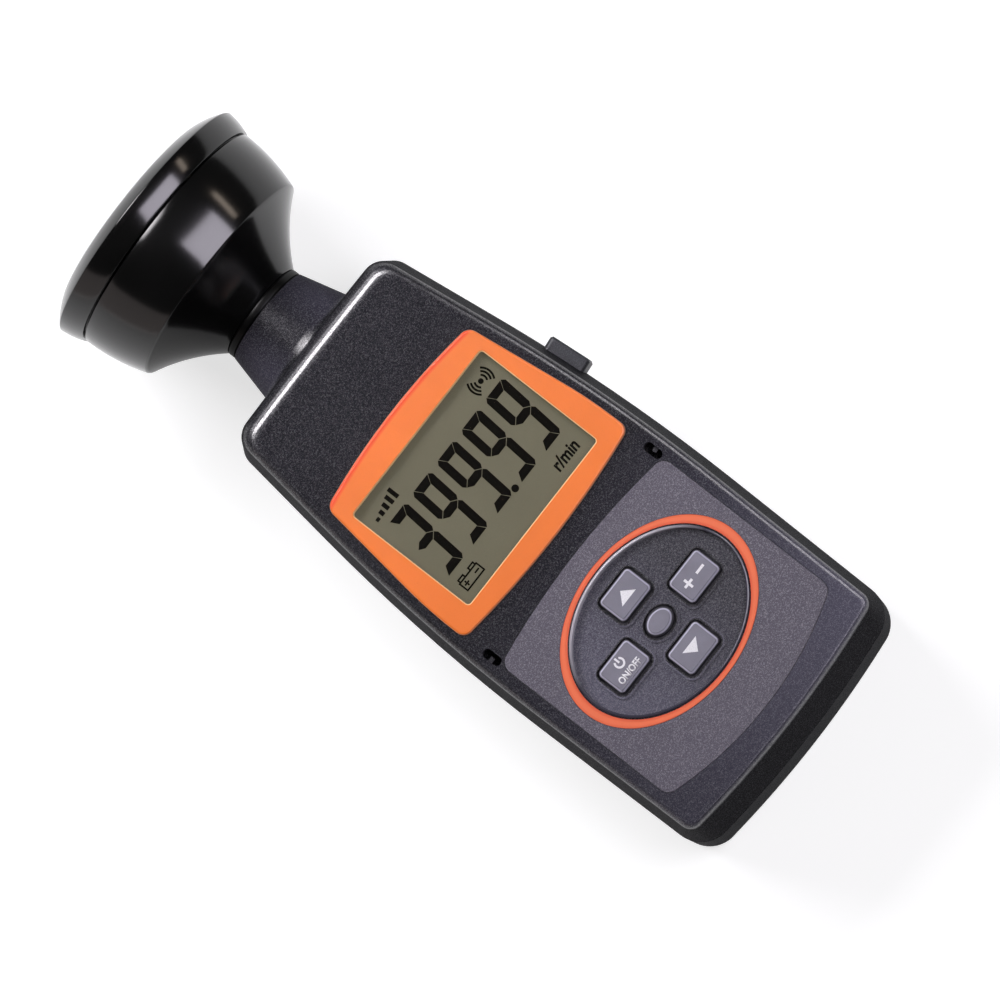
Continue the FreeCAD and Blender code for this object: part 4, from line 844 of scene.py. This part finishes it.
def battery_sign(x, y, rise):
    """The outline of a battery and its two poles, with a plus and a minus in it."""
    line = 0.42 * MM
    width, height = 6.8 * MM, 2.5 * MM
    pole_x, pole_width, pole_height = 1.9 * MM, 2.2 * MM, 0.38 * MM
    signs = [flat_box(x, y + side * height / 2, width, line, rise) for side in (-1, 1)]
    for side in (-1, 1):
        signs.append(flat_box(x + side * (width - line) / 2, y, line, height - 0.44 * MM, rise))
    for side in (-1, 1):
        middle_x = x + side * pole_x
        signs.append(flat_box(middle_x, y + 2.05 * MM, pole_width, line, rise))
        for edge in (-0.9, 0.9):
            signs.append(flat_box(middle_x + edge * MM, y + 1.65 * MM, line, pole_height, rise))
        signs.append(flat_box(middle_x, y, 1.5 * MM, line, rise))
    for side in (1, -1):
        signs.append(flat_box(x - pole_x, y + side * 0.5 * MM, line, 0.52 * MM, rise))
    return signs


# Operators


class STROBOSCOPE_OT_housing(bpy.types.Operator):
    """Finishes both shells of the housing and the battery door"""

    bl_idname = "stroboscope.housing"
    bl_label = "Housing"

    def execute(self, context):
        s = sizes()
        shell = housing_plastic("housing_plastic", colours().housing, s.grain, s.grain_depth)
        paint(["front_cover", "rear_cover", "battery_door"], shell)
        return {"FINISHED"}


class STROBOSCOPE_OT_display(bpy.types.Operator):
    """Finishes the bezel, pane and glass, and adds the numerals and signs of the display"""

    bl_idname = "stroboscope.display"
    bl_label = "Display"

    def execute(self, context):
        c = colours()
        s = sizes()
        paint(["display_bezel"], satin_plastic("bezel_orange", c.bezel, 0.36, bezel_edges))
        paint(["display_window"], clear_pane("window_clear", (0.05, 0.05, 0.05), 0.03, 0.06, 1.3))
        paint(["lcd_glass"], liquid_crystal("display_grey_green", c.display))
        centre = middle("lcd_glass")
        rise = s.ink_height
        pieces = []
        middle_x = -0.12 * MM
        for index, sign in enumerate("39999"):
            pieces.append(numeral(sign, middle_x + (index - 2) * s.digit_pitch, centre.y + 0.3 * MM))
        point_x, point_y, point_radius = 3.93 * MM, centre.y - 8.93 * MM, 0.95 * MM
        pieces.append(flat_polygon(point_x, point_y, point_radius, 24, 0, rise))
        digits = join("display_numerals", pieces)
        digits.data.transform(Matrix.Translation((0, 0, glass_face)))
        dark = ink("display_segments", c.digits, 0.5, 1.05)
        ride(digits, "housing", "lcd", dark)

        right_x = 19.05 * MM
        low_y = centre.y - 13.5 * MM
        signs = rising_bars(-22.0 * MM, centre.y + 12.1 * MM, rise)
        signs += wave_sign(right_x, centre.y + 13.5 * MM, rise)
        signs += battery_sign(-19.0 * MM, low_y - 0.3 * MM, rise)
        signs.append(flat_words("r/min", 17.5 * MM, low_y, 3.4 * MM, 8.0 * MM, rise, 0.12))
        marks = join("display_signs", signs)
        marks.data.transform(Matrix.Translation((0, 0, glass_face)))
        ride(marks, "housing", "lcd", dark)
        return {"FINISHED"}


class STROBOSCOPE_OT_keypad(bpy.types.Operator):
    """Finishes the keypad panel, the oval ring and the keys, and prints the signs on the keys"""

    bl_idname = "stroboscope.keypad"
    bl_label = "Keypad"

    def execute(self, context):
        c = colours()
        s = sizes()
        panel = moulded_plastic("panel_plastic", c.panel, s.grain, s.grain_depth * 0.6, 0.8, 0.12, 0.42)
        paint(["keypad_panel"], panel)
        paint(["keypad_ring"], satin_plastic("ring_orange", c.ring, 0.36, ring_edges))
        centre = middle("centre_key")
        lip = [(25.25, 35.5), (25.25, 37.0), (24.85, 37.22), (24.65, 37.22)]
        lip += [(24.5, 37.1), (24.4, 35.7), (24.4, 35.5)]
        well_lip = oval("well_lip", centre, lip + [lip[0]], 6.1, 0.03 * MM)
        lip_plastic = satin_plastic("well_lip_plastic", shade(tuple(c.housing), 4.5), 0.22, lip_edges)
        ride(well_lip, "housing", "housing", lip_plastic)
        rubber = key_rubber("key_rubber", c.keys)
        paint(["read_key", "fine_key", "up_key", "down_key", "centre_key"], rubber)
        white = ink("key_ink", c.ink)
        rise = s.ink_height
        for key, sign in (("up_key", 1), ("down_key", -1)):
            place = middle(key)
            turn = 0 if sign > 0 else math.pi
            arrow = flat_polygon(place.x, place.y - sign * 0.4 * MM, 2.3 * MM, 3, turn, rise)
            arrow.name = key + "_arrow"
            there = Matrix.Translation((place.x, place.y, key_face))
            wide = Matrix.Diagonal((1.3, 0.8, 1, 1))
            arrow.data.transform(there @ wide @ Matrix.Translation((-place.x, -place.y, 0)))
            ride(arrow, key, "key", white)
        place = middle("read_key")
        start, stop = (math.radians(angle) for angle in (-230, 50))
        loop = flat_arc(place.x, place.y + 1.4 * MM, 1.15 * MM, 0.52 * MM, start, stop, rise)
        bar = flat_box(place.x, place.y + 2.2 * MM, 0.52 * MM, 1.5 * MM, rise)
        word = flat_words("ON/OFF", place.x, place.y - 1.75 * MM, 1.9 * MM, 7.4 * MM, rise)
        power = join("read_key_power_sign", [loop, bar, word])
        power.data.transform(Matrix.Translation((0, 0, key_face)))
        ride(power, "read_key", "key", white)
        place = middle("fine_key")
        signs = [
            flat_box(place.x - 2.2 * MM, place.y, 2.7 * MM, 0.66 * MM, rise),
            flat_box(place.x - 2.2 * MM, place.y + 0.84 * MM, 0.66 * MM, 1.02 * MM, rise),
            flat_box(place.x - 2.2 * MM, place.y - 0.84 * MM, 0.66 * MM, 1.02 * MM, rise),
            flat_box(place.x + 2.2 * MM, place.y, 2.7 * MM, 0.66 * MM, rise),
        ]
        fine = join("fine_key_signs", signs)
        fine.data.transform(Matrix.Translation((0, 0, key_face)))
        ride(fine, "fine_key", "key", white)
        return {"FINISHED"}


class STROBOSCOPE_OT_side_button(bpy.types.Operator):
    """Finishes the side button and its plunger"""

    bl_idname = "stroboscope.side_button"
    bl_label = "Side button"

    def execute(self, context):
        s = sizes()
        grey = moulded_plastic("button_plastic", colours().button, s.grain, s.grain_depth * 0.5, 0.8, 0.03, 0.36)
        paint(["side_button"], grey)
        paint(["switch_plunger"], satin_plastic("plunger_red", srgb(170, 52, 40)))
        return {"FINISHED"}


class STROBOSCOPE_OT_lamp_head(bpy.types.Operator):
    """Models the collar, bell and front ring, and finishes the lens, reflector and flash tube"""

    bl_idname = "stroboscope.lamp_head"
    bl_label = "Lamp head"

    def execute(self, context):
        edge = sizes().edge
        black = gloss_black("lamp_black", colours().lamp)
        waist, shoulder, crown, thread, mouth = 12.6, 28.2, 31.0, 29.5, 27.6
        neck, spigot, bore = 10.6, 8.4, 6.5
        shoulder_y, crown_y, throat_y = collar_stop + 12.6, bell_stop - 3.6, collar_stop + 2.0
        outside = arc((waist, collar_stop), (shoulder, shoulder_y), 1.0, 14)[:-1]
        outside += arc((shoulder, shoulder_y), (crown, crown_y), -0.7, 8)
        inside = [(thread, crown_y), (thread, bell_stop), (mouth, bell_stop), (mouth, crown_y)]
        inside += [(26.2, shoulder_y + 1.2), (neck, throat_y), (bore, throat_y)]
        inside += [(bore, bell_start), (spigot, bell_start), (spigot, collar_stop)]
        bell = turned("bell", outside + inside + [outside[0]], edge)
        ride(bell, "housing", "lamp_black", black, "lamp_bell")
        hole, rim, body = 8.5, 12.1, 12.6
        loop = [(hole, collar_start), (rim, collar_start), (rim, collar_start + 0.4), (body, collar_start + 0.4)]
        loop += [(body, collar_stop - 0.3), (body - 0.3, collar_stop), (hole, collar_stop)]
        collar = turned("collar", loop + [loop[0]], edge)
        satin_black = gloss_black("collar_black", colours().lamp, 0.3, 0.3)
        ride(collar, "housing", "lamp_black", satin_black, "lamp_collar")
        back, widest, face, window, seat = 31.35, 32.7, 27.5, 26.3, 29.6
        widest_y, seat_y = ring_stop - 3.2, ring_stop - 2.4
        side = arc((back, ring_start), (widest, widest_y), -0.25, 6)
        nose = arc((widest, widest_y), (face, ring_stop), -0.25, 6)[1:]
        lip = [(window + 0.6, ring_stop), (window, ring_stop - 0.6), (window, seat_y), (seat, seat_y)]
        ring = turned("ring", side + nose + lip + [(seat, ring_start), side[0]], edge * 0.7)
        ride(ring, "housing", "lamp_black", black, "front_ring")
        paint(["lamp_lens"], clear_pane("lens_clear", (0.93, 0.96, 1.0), 0.1, 0.03))
        paint(["lens_seal"], ink("seal_rubber", srgb(24, 24, 25), 0.6))
        paint(["reflector"], mirror_bowl("reflector_mirror"))
        paint(["lamp_socket"], ink("socket_ceramic", srgb(226, 222, 210), 0.5))
        paint(["flash_tube"], clear_pane("tube_glass", (0.9, 0.93, 1.0), 0.3, 0.05))
        paint(["tube_caps"], metal("cap_nickel", srgb(196, 192, 184), 0.25))
        return {"FINISHED"}


class STROBOSCOPE_OT_electronics(bpy.types.Operator):
    """Finishes the boards and what is on them"""

    bl_idname = "stroboscope.electronics"
    bl_label = "Electronics"

    def execute(self, context):
        paint(["main_board", "power_board"], circuit_board("board_green"))
        paint(["lcd_holder"], satin_plastic("holder_white", srgb(214, 214, 208)))
        paint(["contact_strips"], satin_plastic("strip_rubber", srgb(196, 140, 148), 0.5))
        paint(["keypad_mat"], ink("mat_rubber", srgb(14, 14, 16), 0.6))
        paint(["flash_capacitor"], satin_plastic("capacitor_sleeve", srgb(34, 36, 52), 0.3))
        paint(["inverter_transformer"], moulded_plastic("ferrite", srgb(58, 58, 60), 0.5 * MM, 0.03 * MM))
        paint(["trigger_coil"], wound_wire("coil_wire"))
        paint(["lead_block", "side_switch"], satin_plastic("block_black", srgb(30, 30, 32)))
        paint(["lamp_leads"], satin_plastic("lead_red", srgb(150, 30, 26)))
        return {"FINISHED"}


class STROBOSCOPE_OT_batteries(bpy.types.Operator):
    """Finishes the cells and their contacts"""

    bl_idname = "stroboscope.batteries"
    bl_label = "Batteries"

    def execute(self, context):
        paint([f"battery_cell_{index}" for index in (1, 2, 3, 4)], sleeved_cell("cell_sleeve"))
        paint(["spring_contacts", "plate_contacts"], metal("contact_nickel", srgb(206, 202, 192), 0.22))
        return {"FINISHED"}


class STROBOSCOPE_OT_fasteners(bpy.types.Operator):
    """Finishes all screws"""

    bl_idname = "stroboscope.fasteners"
    bl_label = "Fasteners"

    def execute(self, context):
        zinc = metal("screw_zinc", srgb(178, 178, 182), 0.3, 1.0)
        paint(["case_screws", "main_board_screws", "power_board_screws"], zinc)
        return {"FINISHED"}


# Studio


# Each lamp's name, what it's aimed at in millimetres, its direction from there, its distance, width and height in
# metres, its power in watts, its tint, the rays that see it and its beam in degrees
LAMPS = (
    ("key_softbox", (0, 20, 0), (0.40, -0.33, 0.855), 0.9, 0.5, 0.42, 3.8, (0.95, 0.93, 1.0), "diffuse", 180),
    ("key_reflection", (0, 20, 0), (0.385, -0.34, 0.86), 0.9, 0.69, 0.46, 10.4, (0.93, 0.88, 1.0), "glossy", 180),
    ("head_softbox", (0, 20, 0), (-0.06, 0.8, 0.62), 0.9, 0.6, 0.3, 7.2, (0.98, 0.97, 1.0), "diffuse", 180),
    ("head_reflection", (50, 152, 34), (0, 0.585, 0.811), 0.25, 0.24, 0.26, 0.58, (1.0, 0.97, 1.0), "glossy", 50),
    ("side_reflection", (33, -50, 36), (0.66, 0.16, 0.73), 0.3, 0.18, 0.2, 0.04, (1.0, 0.98, 1.0), "glossy", 24),
    ("left_wall", (0, 20, 0), (-1.0, 0.06, 0.24), 1.0, 0.5, 1.4, 1.7, (1.0, 0.88, 0.86), "diffuse glossy", 180),
    ("warm_lamp", (0, 20, 0), (0.84, -0.11, 0.53), 0.9, 0.08, 0.26, 0.4, (1.0, 0.84, 0.7), "glossy", 180),
)


def add_lamp(scene, name, aim, direction, distance, width, height, power, tint, rays, beam):
    """A softbox whose height lies along the object."""
    light = bpy.data.lights.new(name, "AREA")
    light.shape = "RECTANGLE"
    light.size = width
    light.size_y = height
    light.energy = power
    light.color = tint
    light.spread = math.radians(beam)
    obj = bpy.data.objects.new(name, light)
    way = Vector(direction).normalized()
    side = Vector((0, 1, 0)).cross(way).normalized()
    turn = Matrix((side, way.cross(side), way)).transposed()
    obj.matrix_world = Matrix.Translation(Vector(aim) * MM + way * distance) @ turn.to_4x4()
    obj.visible_camera = False
    obj.visible_diffuse = "diffuse" in rays
    obj.visible_glossy = "glossy" in rays
    scene.collection.objects.link(obj)


def add_camera(scene):
    """A long lens that looks down on the face, tilted towards the butt, with the object turned in the picture."""
    tilt = math.radians(9.3)
    towards = Vector((0, -math.sin(tilt), math.cos(tilt)))
    along = Vector((0, math.cos(tilt), math.sin(tilt)))
    across = Vector((1, 0, 0))
    turn_cos, turn_sin = 0.6143, 0.7891
    right = turn_cos * across - turn_sin * along
    up = turn_sin * across + turn_cos * along
    target = Vector((0, 25.8, 18.5)) * MM + (5.81 * right - 5.14 * up) * MM
    data = bpy.data.cameras.new("camera")
    data.type = "ORTHO"
    data.ortho_scale = 238.1 * MM
    data.clip_start = 0.01
    data.clip_end = 10
    camera = bpy.data.objects.new("camera", data)
    axes = Matrix((right, up, towards)).transposed()
    camera.matrix_world = Matrix.Translation(target + towards * 1.2) @ axes.to_4x4()
    scene.collection.objects.link(camera)
    scene.camera = camera


def add_floor():
    """A plain floor that the lamp's rim and the butt rest on. It shows white to the camera and in reflections."""
    deselect()
    low_head = Vector((0, 126.65, -14.2)) * MM
    low_butt = Vector((0, -75.5, 0.0)) * MM
    run = (low_head - low_butt).normalized()
    bpy.ops.mesh.primitive_plane_add(size=6, location=(low_head + low_butt) / 2)
    floor = bpy.context.object
    floor.name = "floor"
    floor.rotation_euler = (math.atan2(run.z, run.y), 0, 0)
    settle(floor)
    floor.location.z = -0.4 * MM
    settle(floor)
    f = Finish("floor_white")
    diffuse = f.node("BsdfDiffuse", None, {"Color": (0.5, 0.5, 0.5)})
    glow = f.node("Emission", None, {"Color": (1, 1, 1), "Strength": 0.7})
    both = f.node("AddShader", None, {0: diffuse, 1: glow})
    camera_ray, glossy_ray, through_ray = (
        f.node("LightPath", None, None, ray) for ray in ("Is Camera Ray", "Is Glossy Ray", "Is Transmission Ray")
    )
    shown = f.between(camera_ray + glossy_ray + through_ray, 0, 1)
    mixed = f.node("MixShader", None, {0: shown, 1: diffuse, 2: both})
    f.node("OutputMaterial", None, {"Surface": mixed})
    floor.data.materials.append(f.material)


def add_world(scene):
    """Dim light from all round, white to the camera."""
    world = bpy.data.worlds.new("studio")
    world.use_nodes = True
    tree = world.node_tree
    background = tree.nodes["Background"]
    background.inputs["Color"].default_value = (1, 1, 1, 1)
    seen = tree.nodes.new("ShaderNodeLightPath").outputs["Is Camera Ray"]
    strength = tree.nodes.new("ShaderNodeMapRange")
    strength.inputs["To Min"].default_value = 0.055
    tree.links.new(seen, strength.inputs["Value"])
    tree.links.new(strength.outputs["Result"], background.inputs["Strength"])
    scene.world = world


class STROBOSCOPE_OT_stage(bpy.types.Operator):
    """Adds the floor, the studio lamps and the camera"""

    bl_idname = "stroboscope.stage"
    bl_label = "Stage"

    def execute(self, context):
        add_camera(context.scene)
        add_floor()
        for lamp in LAMPS:
            add_lamp(context.scene, *lamp)
        add_world(context.scene)
        context.scene.view_settings.view_transform = "Standard"
        return {"FINISHED"}


OPERATORS = (
    STROBOSCOPE_OT_housing,
    STROBOSCOPE_OT_display,
    STROBOSCOPE_OT_keypad,
    STROBOSCOPE_OT_side_button,
    STROBOSCOPE_OT_lamp_head,
    STROBOSCOPE_OT_electronics,
    STROBOSCOPE_OT_batteries,
    STROBOSCOPE_OT_fasteners,
    STROBOSCOPE_OT_stage,
)


class STROBOSCOPE_PT_panel(bpy.types.Panel):
    """Lists the steps of the stroboscope's looks"""

    bl_idname = "STROBOSCOPE_PT_panel"
    bl_label = "Handheld stroboscope"
    bl_space_type = "VIEW_3D"
    bl_region_type = "UI"
    bl_category = "Stroboscope"

    def draw(self, context):
        column = self.layout.column(align=True)
        for operator in OPERATORS:
            column.operator(operator.bl_idname)
        for settings in (colours(), sizes()):
            box = self.layout.box()
            for name in settings.__annotations__:
                box.prop(settings, name)


CLASSES = (StroboscopeColours, StroboscopeSizes, *OPERATORS, STROBOSCOPE_PT_panel)


def register():
    """Registers the classes and their settings."""
    for cls in CLASSES:
        bpy.utils.register_class(cls)
    bpy.types.Scene.stroboscope_colours = PointerProperty(type=StroboscopeColours)
    bpy.types.Scene.stroboscope_sizes = PointerProperty(type=StroboscopeSizes)


def unregister():
    """Takes the classes and their settings away."""
    del bpy.types.Scene.stroboscope_sizes
    del bpy.types.Scene.stroboscope_colours
    for cls in reversed(CLASSES):
        bpy.utils.unregister_class(cls)


def main():
    """Runs every step in order."""
    register()
    deselect()
    bpy.ops.stroboscope.housing()
    bpy.ops.stroboscope.display()
    bpy.ops.stroboscope.keypad()
    bpy.ops.stroboscope.side_button()
    bpy.ops.stroboscope.lamp_head()
    bpy.ops.stroboscope.electronics()
    bpy.ops.stroboscope.batteries()
    bpy.ops.stroboscope.fasteners()
    bpy.ops.stroboscope.stage()


if __name__ == "__main__":
    main()
